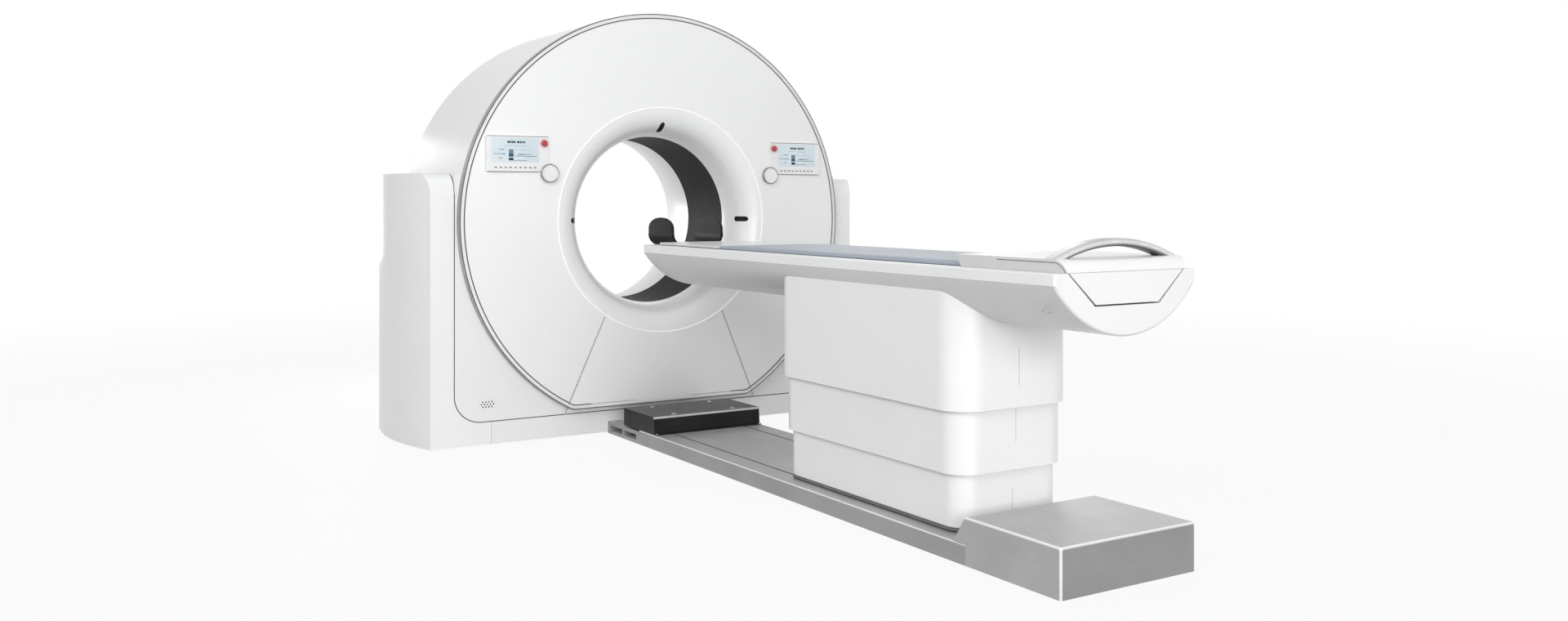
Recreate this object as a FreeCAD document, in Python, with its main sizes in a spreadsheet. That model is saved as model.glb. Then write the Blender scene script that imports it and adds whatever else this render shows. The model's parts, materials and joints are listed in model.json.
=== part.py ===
"""Computed tomography scanner: a round gantry between two towers, and a table on a floor rail.

Millimetres, +Z up.  The origin lies on the floor straight under the centre of the scan plane.
The bore runs along Y: the table side of the gantry faces -Y, and the table slides toward +Y.
"""
import FreeCAD, Part
import math
import os

from FreeCAD import Vector

SIZES = {
    # gantry envelope
    "disc_clear": 131,           # floor to the flat foot of the disc
    "disc_cut": 115,             # depth of the flat that is cut off the round disc
    "dish_width": 456,           # light ring to the outer edge of the disc
    "disc_corner": 70,           # rounding where the flat foot meets the round edge
    "front_depth": 360,          # scan plane to the rim of the front cover
    "front_room": 100,           # cutting tools start this far in front of that rim
    "rear_depth": 556,           # scan plane to the rear face
    "rear_cap_depth": 30,        # rim of the rear cover
    "frame_setback": 40,         # frame face behind the rim of the front cover
    "rear_setback": 16,          # frame face in front of the rear face
    "cover_wall": 6,
    "seam": 1.5,                 # visible joint between covers
    "fit_gap": 0.3,              # joint between parts that seat in each other
    "run_gap": 0.08,             # round a stem or tube that runs in a bore
    "cut_past": 1,               # cutting tools run this far past the faces that they cut
    # front disc
    "trim_width": 11,            # grey band round the disc
    "band_width": 9,             # white band inside it, up to the fine groove
    "groove_width": 2,
    "groove_depth": 2.5,
    "trim_proud": 2,             # band in front of the cover's rim
    "rim_gap": 5,                # rim of the cover to the frame face
    "dish": 18,                  # rise of the disc from its rim to the light ring
    "ring_width": 9,
    "ring_proud": 3,
    "ring_depth": 14,
    "hatch_top_half": 313,       # service hatch, half width where it meets the ring
    "hatch_foot_half": 502,      # and at the foot of the disc
    # bore
    "bore_radius": 410,
    "bore_wall": 4,
    "liner_front": 195,          # scan plane to the front edge of the scan window
    "liner_rear": 189,
    "flare_wall": 5,
    "flare_rise": 134,           # bore to the middle of the light ring
    "rear_flare_rise": 110,
    "front_flare_round": 110,    # tighter arc at the mouth of a flare
    "rear_flare_round": 85,
    "laser_width": 26,
    "laser_inset": 21,           # mouth of the flare to the near end of a laser window
    "laser_length": 65,
    # towers, frame panels and plinths
    "frame_gap": 11,             # disc to the inner edge of a tower
    "tower_width": 106,
    "tower_bulge": 73,
    "tower_height": 1234,
    "tower_round": 100,
    "tower_wall": 5,
    "floor_gap": 5,
    "plinth_drop": 24,           # foot of the disc down to the top of the plinth
    "foot_reach": 171,           # a tower's foot turns in this far under the frame panel
    "plinth_return": 30,
    "panel_wall": 4,
    "panel_corner": 125,
    "panel_return": 24,
    "grille_inset": 152,         # middle of the grille from the tower
    "grille_rise": 79,           # and above the plinth
    "grille_length": 80,
    "grille_height": 44,
    "grille_hole": 2.6,
    "grille_pitch": 14,
    "grille_row": 11.2,
    # base and fixed frame
    "base_reach": 84,            # base plate under the towers
    "base_thick": 20,
    "anchor_inset": 145,         # end of the base plate to an anchor
    "anchor_setback": 80,        # long edge of the base plate to an anchor
    "anchor_radius": 9,
    "stator_y": 160,             # scan plane to the standing plate
    "stator_thick": 40,
    "stator_rim": 60,            # plate outside the motor ring
    "stator_foot_half": 400,
    "stator_step": 10,           # hole in the plate, larger than the inner race
    "race_inner": 65,            # thickness of the inner bearing race
    "race_outer": 80,
    "race_gap": 0.6,             # front of the outer race to the rotor
    "motor_place": 40,           # outer race to the motor ring
    "motor_width": 60,
    "motor_thick": 28,
    "motor_gap": 0.5,
    "brush_width": 90,
    "brush_height": 60,
    "brush_length": 46,
    "cabinet_gap": 11,
    "cabinet_width": 72,
    "cabinet_depth": 560,
    "cabinet_height": 900,
    # rotor
    "rotor_rim": 140,            # ring plate outside the motor ring
    "rotor_y": 60,               # scan plane to the mounting face of the rotor
    "rotor_thick": 39.7,
    "hub_room": 30,              # bore to the inside of the hub
    "hub_wall": 15,
    "slip_gap": 6,               # standing plate to the slip ring
    "slip_thick": 34,
    "slip_height": 55,
    "tube_radius": 95,
    "tube_length": 220,
    "collimator_room": 90,       # bore to the collimator
    "collimator_width": 180,
    "collimator_height": 60,
    "collimator_length": 120,
    "detector_room": 20,         # bore to the middle of the detector face
    "detector_thick": 90,
    "detector_width": 170,
    "detector_half_angle": 25,
    "unit_room": 235,            # bore to the middle of the units on the rotor
    "generator_width": 300,
    "generator_height": 190,
    "generator_length": 190,
    "cooler_width": 260,
    "cooler_height": 200,
    "cooler_length": 208,
    "weight_width": 160,
    "weight_height": 120,
    "weight_length": 250,
    # control panels
    "panel_ring_gap": 46,        # light ring to the inner end of a panel
    "panel_edge_gap": 115,       # outer end of a panel to the edge of the disc
    "panel_z": 307,              # middle of a panel above the bore axis
    "panel_height": 164,
    "panel_front": 378,          # scan plane to the face of the panel
    "panel_depth": 26,
    "panel_round": 9,
    "screen_side": 36,           # frame beside the screen
    "screen_height": 112,
    "screen_shift": 11,          # screen toward the tower
    "screen_rise": 17,
    "screen_depth": 3,
    "key_count": 9,
    "key_inset": 19.5,           # end of the screen to the middle of the first key
    "key_length": 12,
    "key_height": 7,
    "key_proud": 1,
    "key_drop": 62,
    "stop_radius": 13,
    "stop_inset": 22.5,          # inner end of the panel to the stop button
    "stop_z": 50,
    "stop_stem": 7,
    "stop_reach": 12,            # the stem behind the panel's face
    "stop_room": 6,              # its hole goes on this much deeper
    "stop_proud": 11,
    "stop_cap": 7,
    "dial_radius": 42,
    "dial_boss": 50,
    "dial_shift": 2.5,           # dial past the inner end of the panel
    "dial_z": 87,
    "dial_thick": 13,
    "dial_stem": 9,
    "dial_reach": 4,
    "dial_rim": 11.8,            # rim of the dial to its groove
    "dial_groove_width": 3.4,
    "dial_groove_depth": 1.5,
    # floor rail
    "rail_margin": 92,           # a slot to the edge of the rail
    "rail_height": 64,
    "rail_near": 676,            # scan plane to the gantry end of the rail
    "rail_far": 3040,            # scan plane to the foot end of the extrusion
    "rail_wall": 8,
    "rail_deck": 6,
    "rail_edge": 5,
    "slot_width": 10,
    "channel_half": 62,
    "guide_width": 24,
    "guide_height": 22,
    "block_length": 424,         # end block past the end of the rail
    "block_height": 149,
    "block_toe": 59,             # its sloping wall reaches back over the rail
    "block_wall": 5,
    "block_round": 8,
    "link_near": 176,            # smoked cover from the end of the rail toward the gantry
    "link_far": 154,             # and over the rail
    "link_inset": 3,
    "link_top": 143,
    "link_slope": 8,
    "link_wall": 4,
    "link_flange": 14,
    "bracket_width": 62,
    "bracket_bar": 16,
    "bracket_post": 34,
    # carriage and lift
    "column_head": 1881,         # scan plane to the lower cover's gantry end
    "column_foot": 2942,
    "column_half": 215,
    "column_corner": 72,
    "cover_step": 17,            # each cover stands this far outside the one below
    "lift_wall": 4,
    "carriage_gap": 4,           # over the rail
    "carriage_thick": 12,
    "lower_top": 300,
    "middle_lap": 50,            # the middle cover starts this far below the lower one's top
    "middle_top": 480,
    "upper_lap": 28,
    "leg_inset": 34,             # side of the carriage to its legs
    "leg_width": 6,
    "leg_length": 160,
    "leg_place": 380,
    "runner_width": 44,
    "runner_lift": 4,            # over the floor of the rail
    "runner_room": 8,            # under its deck
    "tube_spread": 430,          # between the two lifting tubes
    "outer_tube": 78,
    "tube_wall": 7.7,
    "middle_tube_lap": 70,       # a tube starts this far below the end of the one round it
    "inner_tube_lap": 50,
    "lift_plate": 10,
    "saddle_half": 170,
    "saddle_drop": 32,           # below the hull
    "saddle_rise": 81,           # into the hull's round underside
    "saddle_overhang": 150,
    # table top
    "table_drop": 104,           # bore axis down to the top of the hull
    "table_head": 754,           # scan plane to the head end of the hull
    "table_foot": 3453,
    "hull_half": 286,
    "hull_depth": 190,
    "hull_band": 34,             # upright side of the hull under its top
    "hull_wall": 6,
    "hull_bevel": 4,
    "hull_round": 9,             # rounded edge of the foot end
    "hull_rim": 50,              # side of the hull to its channel
    "channel_slope": 105,        # each side of the channel leans in by this
    "channel_depth": 98,
    "tongue_half": 62,
    "tongue_thick": 8,
    "tongue_room": 4,
    "tongue_tail": 90,           # tongue of the head holder under the cradle
    "tongue_nose": 30,           # and under the trough
    "cradle_inset": 30,          # edge of the channel to the cradle
    "cradle_thick": 9,
    "block_rise": 39,            # foot block above the hull
    "block_reach": 481,          # length of the foot block
    "block_nose": 40,            # length of its rounded shoulder
    "block_edge": 1,
    "block_flare": 18,           # its sides lean out by this up to its top
    "wedge_gap": 5,              # wedge of the foot block to the channel
    "block_panel": 60,           # length of the part that hangs in the hull
    "handle_inset": 32,          # top edge of the block to the feet of the grip
    "handle_rise": 56,
    "handle_thick": 24,
    "handle_depth": 57,
    "handle_round": 12,          # its section has full round edges
    "handle_place": 67,          # foot end of the block to the middle of the grip
    # patient supports
    "mat_lap": 11,               # over the sides of the cradle
    "mat_rise": 23,              # above the hull
    "mat_crown": 4,
    "mat_taper": 176,            # length of the thinner head end
    "mat_setback": 578,          # head end of the hull to the mat
    "mat_tip": 5,
    "mat_draw": 5,
    "holder_half": 133,
    "holder_wall": 14,
    "holder_height": 133,
    "holder_corner": 56,         # its lower corners
    "holder_arch": 52,           # height of the arched rim of each wall
    "holder_gap": 31,            # hull to the trough
    "holder_length": 251,
    "holder_ribs": 10,           # on each upright wall
    "rib_depth": 2.4,
}

doc = FreeCAD.newDocument("ct_scanner")
sheet = doc.addObject("Spreadsheet::Sheet", "Sizes")
for row, (alias, number) in enumerate(SIZES.items(), start=1):
    sheet.set(f"A{row}", alias)
    sheet.set(f"B{row}", str(number))
    sheet.setAlias(f"B{row}", alias)
doc.recompute()


class Size:
    """A length together with the sheet expression that drives it."""

    def __init__(self, value, text):
        self.value = float(value)
        self.text = text

    def __add__(self, other):
        other = as_size(other)
        return Size(self.value + other.value, f"({self.text} + {other.text})")

    def __sub__(self, other):
        other = as_size(other)
        return Size(self.value - other.value, f"({self.text} - {other.text})")

    def __mul__(self, other):
        other = as_size(other)
        return Size(self.value * other.value, f"({self.text} * {other.text})")

    def __truediv__(self, other):
        other = as_size(other)
        return Size(self.value / other.value, f"({self.text} / {other.text})")

    def __radd__(self, other):
        return as_size(other) + self

    def __rsub__(self, other):
        return as_size(other) - self

    def __rmul__(self, other):
        return as_size(other) * self

    def __neg__(self):
        return self * -1

    def root(self):
        return Size(math.sqrt(self.value), f"sqrt({self.text})")


def as_size(value):
    """A plain number becomes a constant Size."""
    if isinstance(value, Size):
        return value
    return Size(value, f"({value})")


class Sheet:
    """Reads a named size from the sheet, as in S.bore_radius."""

    def __getattr__(self, alias):
        return Size(sheet.get(alias), f"Sizes.{alias}")


S = Sheet()
nodes = []
CLOSE = 1e-6
SIDES = ((-1, "left"), (1, "right"))
LINING_STAVES = 16

# ---------------------------------------------------------------- places that follow from the sizes

RING = S.bore_radius + S.flare_rise                 # middle of the light ring
DISC = RING + S.dish_width                          # outer edge of the front disc
DROP = DISC - S.disc_cut                            # bore axis down to the flat foot of the disc
ISO = S.disc_clear + DROP                           # bore axis above the floor
BEFORE = -(S.front_depth + S.front_room)            # clear in front of the disc
FRAME_FRONT = -S.front_depth + S.frame_setback      # face of the frame between the towers
FRAME_REAR = S.rear_depth - S.rear_setback
FRAME_HALF = DISC + S.frame_gap                     # inner edge of a tower
PLINTH_TOP = S.disc_clear - S.plinth_drop
PLINTH_HALF = FRAME_HALF - S.foot_reach

HUB_IN = S.bore_radius + S.hub_room                 # radii of the rotor, from the bore outward
HUB_OUT = HUB_IN + S.hub_wall
RACE_RUN = HUB_OUT + S.race_inner                   # running surface of the bearing
RACE_OUT = RACE_RUN + S.race_outer
MOTOR_IN = RACE_OUT + S.motor_place
MOTOR_OUT = MOTOR_IN + S.motor_width
ROTOR_BACK = S.rotor_y + S.rotor_thick
TUBE_PLACE = S.bore_radius + S.collimator_room + S.collimator_height + S.tube_radius
UNIT_PLACE = S.bore_radius + S.unit_room

PANEL_IN = RING + S.panel_ring_gap                  # ends of a control panel
PANEL_OUT = DISC - S.panel_edge_gap
PANEL_X = (PANEL_IN + PANEL_OUT) / 2
SCREEN_WIDTH = PANEL_OUT - PANEL_IN - S.screen_side * 2

SLOT_X = S.column_half - S.leg_inset                # slots of the floor rail
RAIL_HALF = SLOT_X + S.rail_margin
RAIL_DECK = S.rail_height - S.rail_deck
CARRIAGE_LOW = S.rail_height + S.carriage_gap
CARRIAGE_TOP = CARRIAGE_LOW + S.carriage_thick
COLUMN_Y = -(S.column_head + S.column_foot) / 2

HULL_TOP = ISO - S.table_drop
HULL_LOW = HULL_TOP - S.hull_depth
CREASE = HULL_TOP - S.hull_band                     # where the hull's round underside ends
CHANNEL_LOW = HULL_TOP - S.channel_depth
CHANNEL_HALF = S.hull_half - S.hull_rim             # half width of the channel at its top
CHANNEL_FOOT = CHANNEL_HALF - S.channel_slope
CRADLE_HALF = CHANNEL_HALF - S.cradle_inset
CRADLE_LOW = HULL_TOP + S.fit_gap
BLOCK_TOP = HULL_TOP + S.block_rise
BLOCK_FRONT = -S.table_foot + S.block_reach         # gantry end of the foot block
BLOCK_HALF = CHANNEL_HALF + S.block_flare           # half width of its top
HOLDER_FOOT = -S.table_head + S.holder_gap
HOLDER_HEAD = HOLDER_FOOT + S.holder_length
HOLDER_LOW = HULL_TOP - S.holder_wall


def node(shape_object, name):
    """Names a finished sub-part; its label is also its file name."""
    shape_object.Label = name
    nodes.append(shape_object)
    return shape_object


def bind(item, prop, size):
    item.setExpression(prop, as_size(size).text)


# ---------------------------------------------------------------- sketches and features

class Arc:
    """A step of an outline: an arc to (u, v), turning left (+1) or right (-1)."""

    def __init__(self, u, v, radius, turn=1, large=False):
        self.u = u
        self.v = v
        self.radius = as_size(radius)
        self.turn = turn
        self.large = large


class Circle:
    """A full circle as an outline of its own."""

    def __init__(self, u, v, radius):
        self.u = u
        self.v = v
        self.radius = as_size(radius)


def corner(step):
    """The end point of an outline step as two sizes."""
    if isinstance(step, Arc):
        return as_size(step.u), as_size(step.v)
    return as_size(step[0]), as_size(step[1])


def same_place(first, second):
    """Whether two outline steps end at one point."""
    return all(abs(a.value - b.value) < CLOSE for a, b in zip(corner(first), corner(second)))


def arc_centre(start, end, arc):
    """Centre of the arc from start to end, from its radius and the side it turns to."""
    chord = end - start
    half = chord.Length / 2
    rise = math.sqrt(max(arc.radius.value ** 2 - half ** 2, 0.0))
    left = Vector(-chord.y, chord.x, 0).normalize()
    side = arc.turn * (-1 if arc.large else 1)
    return (start + end) * 0.5 + left * rise * side


def hold_point(sketch, geometry, position, u, v):
    """Places a sketch point at two sheet-driven coordinates."""
    import Sketcher
    for kind, axis, size in (("DistanceX", -2, u), ("DistanceY", -1, v)):
        if size.value == 0 and "Sizes" not in size.text:
            sketch.addConstraint(Sketcher.Constraint("PointOnObject", geometry, position, axis))
            continue
        index = sketch.addConstraint(Sketcher.Constraint(kind, -1, 1, geometry, position, size.value))
        sketch.setExpression(f"Constraints[{index}]", size.text)


def hold_radius(sketch, geometry, size):
    import Sketcher
    index = sketch.addConstraint(Sketcher.Constraint("Radius", geometry, size.value))
    sketch.setExpression(f"Constraints[{index}]", size.text)


def draw_circle(sketch, circle):
    u, v = as_size(circle.u), as_size(circle.v)
    curve = Part.Circle(Vector(u.value, v.value, 0), Vector(0, 0, 1), circle.radius.value)
    geometry = sketch.addGeometry(curve, False)
    hold_point(sketch, geometry, 3, u, v)
    hold_radius(sketch, geometry, circle.radius)


def draw_outline(sketch, steps):
    """A closed outline of lines and arcs, each corner held by the sheet.

    An outline may end where it began; its last step then closes it.
    """
    import Sketcher
    steps = [step for index, step in enumerate(steps)
             if index == 0 or isinstance(step, Arc) or not same_place(steps[index - 1], step)]
    if same_place(steps[0], steps[-1]):
        steps = [steps[-1]] + steps[1:-1]
    corners = [corner(step) for step in steps]
    ends = []
    for index, (u, v) in enumerate(corners):
        step = steps[(index + 1) % len(steps)]
        next_u, next_v = corners[(index + 1) % len(steps)]
        start = Vector(u.value, v.value, 0)
        end = Vector(next_u.value, next_v.value, 0)
        if not isinstance(step, Arc):
            geometry = sketch.addGeometry(Part.LineSegment(start, end), False)
            ends.append((geometry, 1, 2))
            continue
        centre = arc_centre(start, end, step)
        first, last = (start, end) if step.turn > 0 else (end, start)
        angles = [math.atan2(p.y - centre.y, p.x - centre.x) for p in (first, last)]
        if angles[1] <= angles[0]:
            angles[1] += 2 * math.pi
        circle = Part.Circle(centre, Vector(0, 0, 1), step.radius.value)
        geometry = sketch.addGeometry(Part.ArcOfCircle(circle, angles[0], angles[1]), False)
        ends.append((geometry, 1, 2) if step.turn > 0 else (geometry, 2, 1))
    for index, (geometry, start_point, end_point) in enumerate(ends):
        following = ends[(index + 1) % len(ends)]
        sketch.addConstraint(
            Sketcher.Constraint("Coincident", geometry, end_point, following[0], following[1]))
        hold_point(sketch, geometry, start_point, *corners[index])
        step = steps[(index + 1) % len(steps)]
        if isinstance(step, Arc):
            hold_radius(sketch, geometry, step.radius)


def new_body(name):
    return doc.addObject("PartDesign::Body", name)


def new_sketch(body, plane, outlines, offset=0):
    """A sketch on one of the body's own planes, moved along the plane's normal."""
    sketch = body.newObject("Sketcher::SketchObject", f"{body.Name}_sketch")
    support = next(item for item in body.Origin.OriginFeatures if item.Role == f"{plane}_Plane")
    sketch.AttachmentSupport = [(support, "")]
    sketch.MapMode = "FlatFace"
    bind(sketch, ".AttachmentOffset.Base.z", offset)
    for outline in outlines:
        if isinstance(outline, Circle):
            draw_circle(sketch, outline)
        else:
            draw_outline(sketch, outline)
    return sketch


def pad(body, plane, outlines, low, high):
    """Extrudes outlines between two coordinates along the plane's normal axis."""
    low, high = as_size(low), as_size(high)
    offset = -high if plane == "XZ" else low
    feature = body.newObject("PartDesign::Pad", f"{body.Name}_pad")
    feature.Profile = new_sketch(body, plane, outlines, offset)
    bind(feature, "Length", high - low)
    return feature


def pocket(body, plane, outlines, low, high):
    """Cuts outlines out of the body between two coordinates."""
    low, high = as_size(low), as_size(high)
    offset = -low if plane == "XZ" else high
    feature = body.newObject("PartDesign::Pocket", f"{body.Name}_pocket")
    feature.Profile = new_sketch(body, plane, outlines, offset)
    bind(feature, "Length", high - low)
    return feature


def turned(name, outline):
    """A body turned about the bore axis, from an outline in (y, radius)."""
    body = new_body(name)
    feature = body.newObject("PartDesign::Revolution", f"{name}_turn")
    profile = new_sketch(body, "YZ", [outline])
    feature.Profile = profile
    feature.ReferenceAxis = (profile, ["H_Axis"])
    feature.Angle = 360
    bind(body, ".Placement.Base.z", ISO)
    return body


def prism(name, plane, outlines, low, high):
    body = new_body(name)
    pad(body, plane, outlines, low, high)
    return body


def box(name, x, y, z):
    """A plain block between pairs of coordinates."""
    block = doc.addObject("Part::Box", name)
    for (low, high), length, axis in zip((x, y, z), ("Length", "Width", "Height"), "xyz"):
        low, high = as_size(low), as_size(high)
        bind(block, length, high - low)
        bind(block, f".Placement.Base.{axis}", low)
    return block


def boolean(kind, name, parts):
    result = doc.addObject(kind, name)
    result.Shapes = parts
    return result


def fuse(name, *parts):
    return boolean("Part::MultiFuse", name, list(parts))


def common(name, *parts):
    return boolean("Part::MultiCommon", name, list(parts))


def cut(name, base, *tools):
    tool = tools[0] if len(tools) == 1 else fuse(f"{name}_tools", *tools)
    result = doc.addObject("Part::Cut", name)
    result.Base = base
    result.Tool = tool
    return result


def rounded(bodies_feature, body, radius, wanted):
    """Rounds the edges of a feature that the test picks out."""
    doc.recompute()
    names = [f"Edge{index}" for index, edge in enumerate(bodies_feature.Shape.Edges, start=1)
             if wanted(edge)]
    feature = body.newObject("PartDesign::Fillet", f"{body.Name}_round")
    feature.Base = (bodies_feature, names)
    bind(feature, "Radius", radius)
    return feature


def span(first, second):
    """Two coordinates in rising order."""
    return sorted((as_size(first), as_size(second)), key=lambda size: size.value)


def rectangle(u, v):
    """A rectangular outline from two pairs of coordinates."""
    return [(u[0], v[0]), (u[1], v[0]), (u[1], v[1]), (u[0], v[1])]


def round_rectangle(u, v, radius):
    """A rectangular outline with four equal rounded corners."""
    (left, right), (low, high) = [(as_size(a), as_size(b)) for a, b in (u, v)]
    return [
        (left + radius, low), (right - radius, low), Arc(right, low + radius, radius),
        (right, high - radius), Arc(right - radius, high, radius),
        (left + radius, high), Arc(left, high - radius, radius),
        (left, low + radius), Arc(left + radius, low, radius),
    ]


# ---------------------------------------------------------------- gantry covers

def disc_outline(inset):
    """The disc with its flat foot, drawn about the bore axis."""
    radius = DISC - inset
    drop = DROP - inset
    fillet = S.disc_corner - inset
    across = ((radius - fillet) * (radius - fillet) - (drop - fillet) * (drop - fillet)).root()
    reach = radius / (radius - fillet)
    side = across * reach
    side_z = ISO - (drop - fillet) * reach
    foot_z = ISO - drop
    return [
        (-across, foot_z), (across, foot_z), Arc(side, side_z, fillet),
        Arc(-side, side_z, radius, 1, True), Arc(-across, foot_z, fillet),
    ]


def disc_prism(name, inset, low, high):
    return prism(name, "XZ", [disc_outline(inset)], low, high)


def dish_solid(name, shift):
    """Everything behind the dished face of the front disc, moved back by a shift."""
    rise = S.dish / S.dish_width
    rim = -S.front_depth + shift
    centre = rim - rise * DISC
    beyond = DISC + S.trim_width
    return turned(name, [(centre, 0), (rim + rise * S.trim_width, beyond),
                         (FRAME_FRONT, beyond), (FRAME_FRONT, 0)])


def hatch_outline(inset):
    """The hatch, run past the ring and the foot of the disc along its slanted sides."""
    ring_edge = RING + S.ring_width / 2
    top_drop = (ring_edge * ring_edge - S.hatch_top_half * S.hatch_top_half).root()
    slope = (S.hatch_foot_half - S.hatch_top_half) / (DROP - top_drop)
    top_half = S.hatch_top_half - slope * (top_drop / 2) - inset
    foot_half = S.hatch_top_half + slope * (DISC - top_drop) - inset
    top = ISO - top_drop / 2
    foot = ISO - DISC
    return [(-foot_half, foot), (foot_half, foot), (top_half, top), (-top_half, top)]


def front_disc():
    """Dished front cover with its hatch, the grey edge band and the light ring."""
    edge = S.trim_width + S.fit_gap
    back = FRAME_FRONT - S.rim_gap
    past = back + S.cut_past
    outer = common("disc_outer", disc_prism("disc_outer_edge", edge, BEFORE, back),
                   dish_solid("disc_face", 0))
    inner = common("disc_inner", disc_prism("disc_inner_edge", edge + S.cover_wall, BEFORE, past),
                   dish_solid("disc_back", S.cover_wall))
    ring_edge = RING + S.ring_width / 2
    hole = prism("disc_hole", "XZ", [Circle(0, ISO, ring_edge + S.fit_gap)], BEFORE, past)
    groove_edge = S.trim_width + S.band_width
    groove_ring = cut("groove_ring", disc_prism("groove_outer", groove_edge, BEFORE, past),
                      disc_prism("groove_inner", groove_edge + S.groove_width,
                                 BEFORE - S.cut_past, past + S.cut_past))
    groove = cut("groove", groove_ring, dish_solid("groove_floor", S.groove_depth))
    shell = cut("disc_shell", outer, inner, hole, groove)
    hatch_zone = prism("hatch_zone", "XZ", [hatch_outline(S.seam)], BEFORE, past)
    hatch_gap = prism("hatch_gap", "XZ", [hatch_outline(0)], BEFORE, past)
    gaps = []
    for side, side_name in SIDES:
        gaps.append(prism(f"{side_name}_panel_gap", "XZ", panel_outline(side, -S.fit_gap), BEFORE, past))
        dial = [Circle(*dial_place(side), S.dial_boss + S.fit_gap)]
        gaps.append(prism(f"{side_name}_dial_gap", "XZ", dial, BEFORE, past))
    node(cut("front_cover_cut", shell, hatch_gap, *gaps), "front_cover")
    node(common("hatch_plate", shell, hatch_zone), "service_hatch")
    band_front = -S.front_depth - S.trim_proud
    trim = cut("trim_band", disc_prism("trim_outer", 0, band_front, FRAME_FRONT - S.fit_gap),
               disc_prism("trim_inner", S.trim_width, band_front - S.cut_past, FRAME_FRONT))
    node(trim, "edge_trim")
    ring_front = -S.front_depth - S.dish - S.ring_proud
    ring_back = ring_front + S.ring_depth
    half = S.ring_width / 2
    node(turned("ring", [
        (ring_front + S.ring_proud, RING + half), (ring_back, RING + half), (ring_back, RING - half),
        (ring_front + S.ring_proud, RING - half), (ring_front, RING - half / 2),
        (ring_front, RING + half / 2),
    ]), "light_ring")


def flare(name, mouth, throat, mouth_radius, small):
    """A bell-mouthed lining: a tight arc at the mouth runs on into a wide one at the bore."""
    toward = 1 if mouth.value > throat.value else -1
    length = (mouth - throat) * toward
    rise = mouth_radius - S.bore_radius
    large = (length * length + rise * rise - length * small * 2) / ((rise - small) * 2)
    across = (length - small) / (large - small)
    inward = (large - rise) / (large - small)
    wall = S.flare_wall

    def joint(inset):
        reach = small - inset
        return throat + ((length - small) + reach * across) * toward, mouth_radius - reach * inward

    outline = [
        (mouth, mouth_radius), Arc(*joint(0), small, -toward), Arc(throat, S.bore_radius, large, -toward),
        (throat, S.bore_radius + wall), Arc(*joint(wall), large - wall, toward),
        Arc(mouth - wall * toward, mouth_radius, small - wall, toward),
    ]
    return turned(name, outline)


def stave_zones():
    """Equal sectors round the bore axis, as tools that divide the linings."""
    reach = RING * 1.5
    front, rear = -S.front_depth - S.dish - S.cut_past, S.rear_depth + S.cut_past
    step = 2 * math.pi / LINING_STAVES
    zones = []
    for index in range(LINING_STAVES):
        rim = [(reach * math.cos(angle), ISO + reach * math.sin(angle))
               for angle in (step * index, step * (index + 1))]
        zones.append(prism(f"stave_zone_{index}", "XZ", [[(0, ISO)] + rim], front, rear))
    return zones


def staves(name, form, zones):
    """A lining as a ring of staves that touch along their long edges."""
    ring = doc.addObject("Part::Compound", f"{name}_ring")
    ring.Links = [common(f"{name}_stave_{index}", form, zone) for index, zone in enumerate(zones)]
    node(ring, name)


def laser_slots(name, inset, low, high):
    """Round-ended windows through the flare at the top and at both sides of the bore."""
    half = S.laser_width / 2 - inset
    far = -S.front_depth - S.dish + S.laser_inset
    ends = (far + inset, far + S.laser_length - inset)
    top = prism(f"{name}_top", "XY", [round_rectangle((-half, half), ends, half)], low, high)
    bind(top, ".Placement.Base.z", ISO)
    side = prism(f"{name}_side", "YZ", [round_rectangle(ends, (-half, half), half)], low, high)
    bind(side, ".Placement.Base.z", ISO)
    far_side = prism(f"{name}_far", "YZ", [round_rectangle(ends, (-half, half), half)], -high, -low)
    bind(far_side, ".Placement.Base.z", ISO)
    return [top, side, far_side]


def bore_lining():
    """Front flare with its laser windows, the dark scan window and the rear flare."""
    mouth = -(S.front_depth + S.dish)
    mouth_radius = RING - S.ring_width / 2 - S.fit_gap
    lining = flare("flare_form", mouth, -S.liner_front, mouth_radius, S.front_flare_round)
    reach = (S.bore_radius, RING)
    zones = stave_zones()
    slotted = cut("front_flare_cut", lining, *laser_slots("laser_slot", as_size(0), *reach))
    staves("front_flare", slotted, zones)
    panes = fuse("laser_zone", *laser_slots("laser_pane", S.fit_gap, *reach))
    node(common("laser_panes", lining, panes), "laser_windows")
    radius = S.bore_radius
    liner = rectangle((-S.liner_front, S.liner_rear), (radius, radius + S.bore_wall))
    staves("bore_liner", turned("liner", liner), zones)
    rear_form = flare("rear_flare_form", S.rear_depth, S.liner_rear, radius + S.rear_flare_rise,
                      S.rear_flare_round)
    staves("rear_flare", rear_form, zones)


def drum():
    """The round barrel behind the disc and the cap that closes its rear."""
    front = FRAME_FRONT - S.fit_gap
    rear = S.rear_depth - S.rear_cap_depth
    inset = S.seam
    shell = cut("barrel_shell", disc_prism("barrel_outer", inset, front, rear),
                disc_prism("barrel_inner", inset + S.cover_wall, front - S.cut_past, rear + S.cut_past))
    gap = S.fit_gap
    leg_slot = box("barrel_slot", (-S.stator_foot_half - gap, S.stator_foot_half + gap),
                   (S.stator_y - gap, S.stator_y + S.stator_thick + gap),
                   (0, S.disc_clear + S.disc_corner))
    node(cut("barrel", shell, leg_slot), "drum_cover")
    flare_edge = S.bore_radius + S.rear_flare_rise
    cap = cut("cap_shell", disc_prism("cap_outer", inset, rear + gap, S.rear_depth),
              disc_prism("cap_inner", inset + S.cover_wall, rear, S.rear_depth - S.cover_wall),
              prism("cap_hole", "XZ", [Circle(0, ISO, flare_edge + gap)], rear, S.rear_depth + S.cut_past))
    node(cap, "rear_cover")


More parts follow.
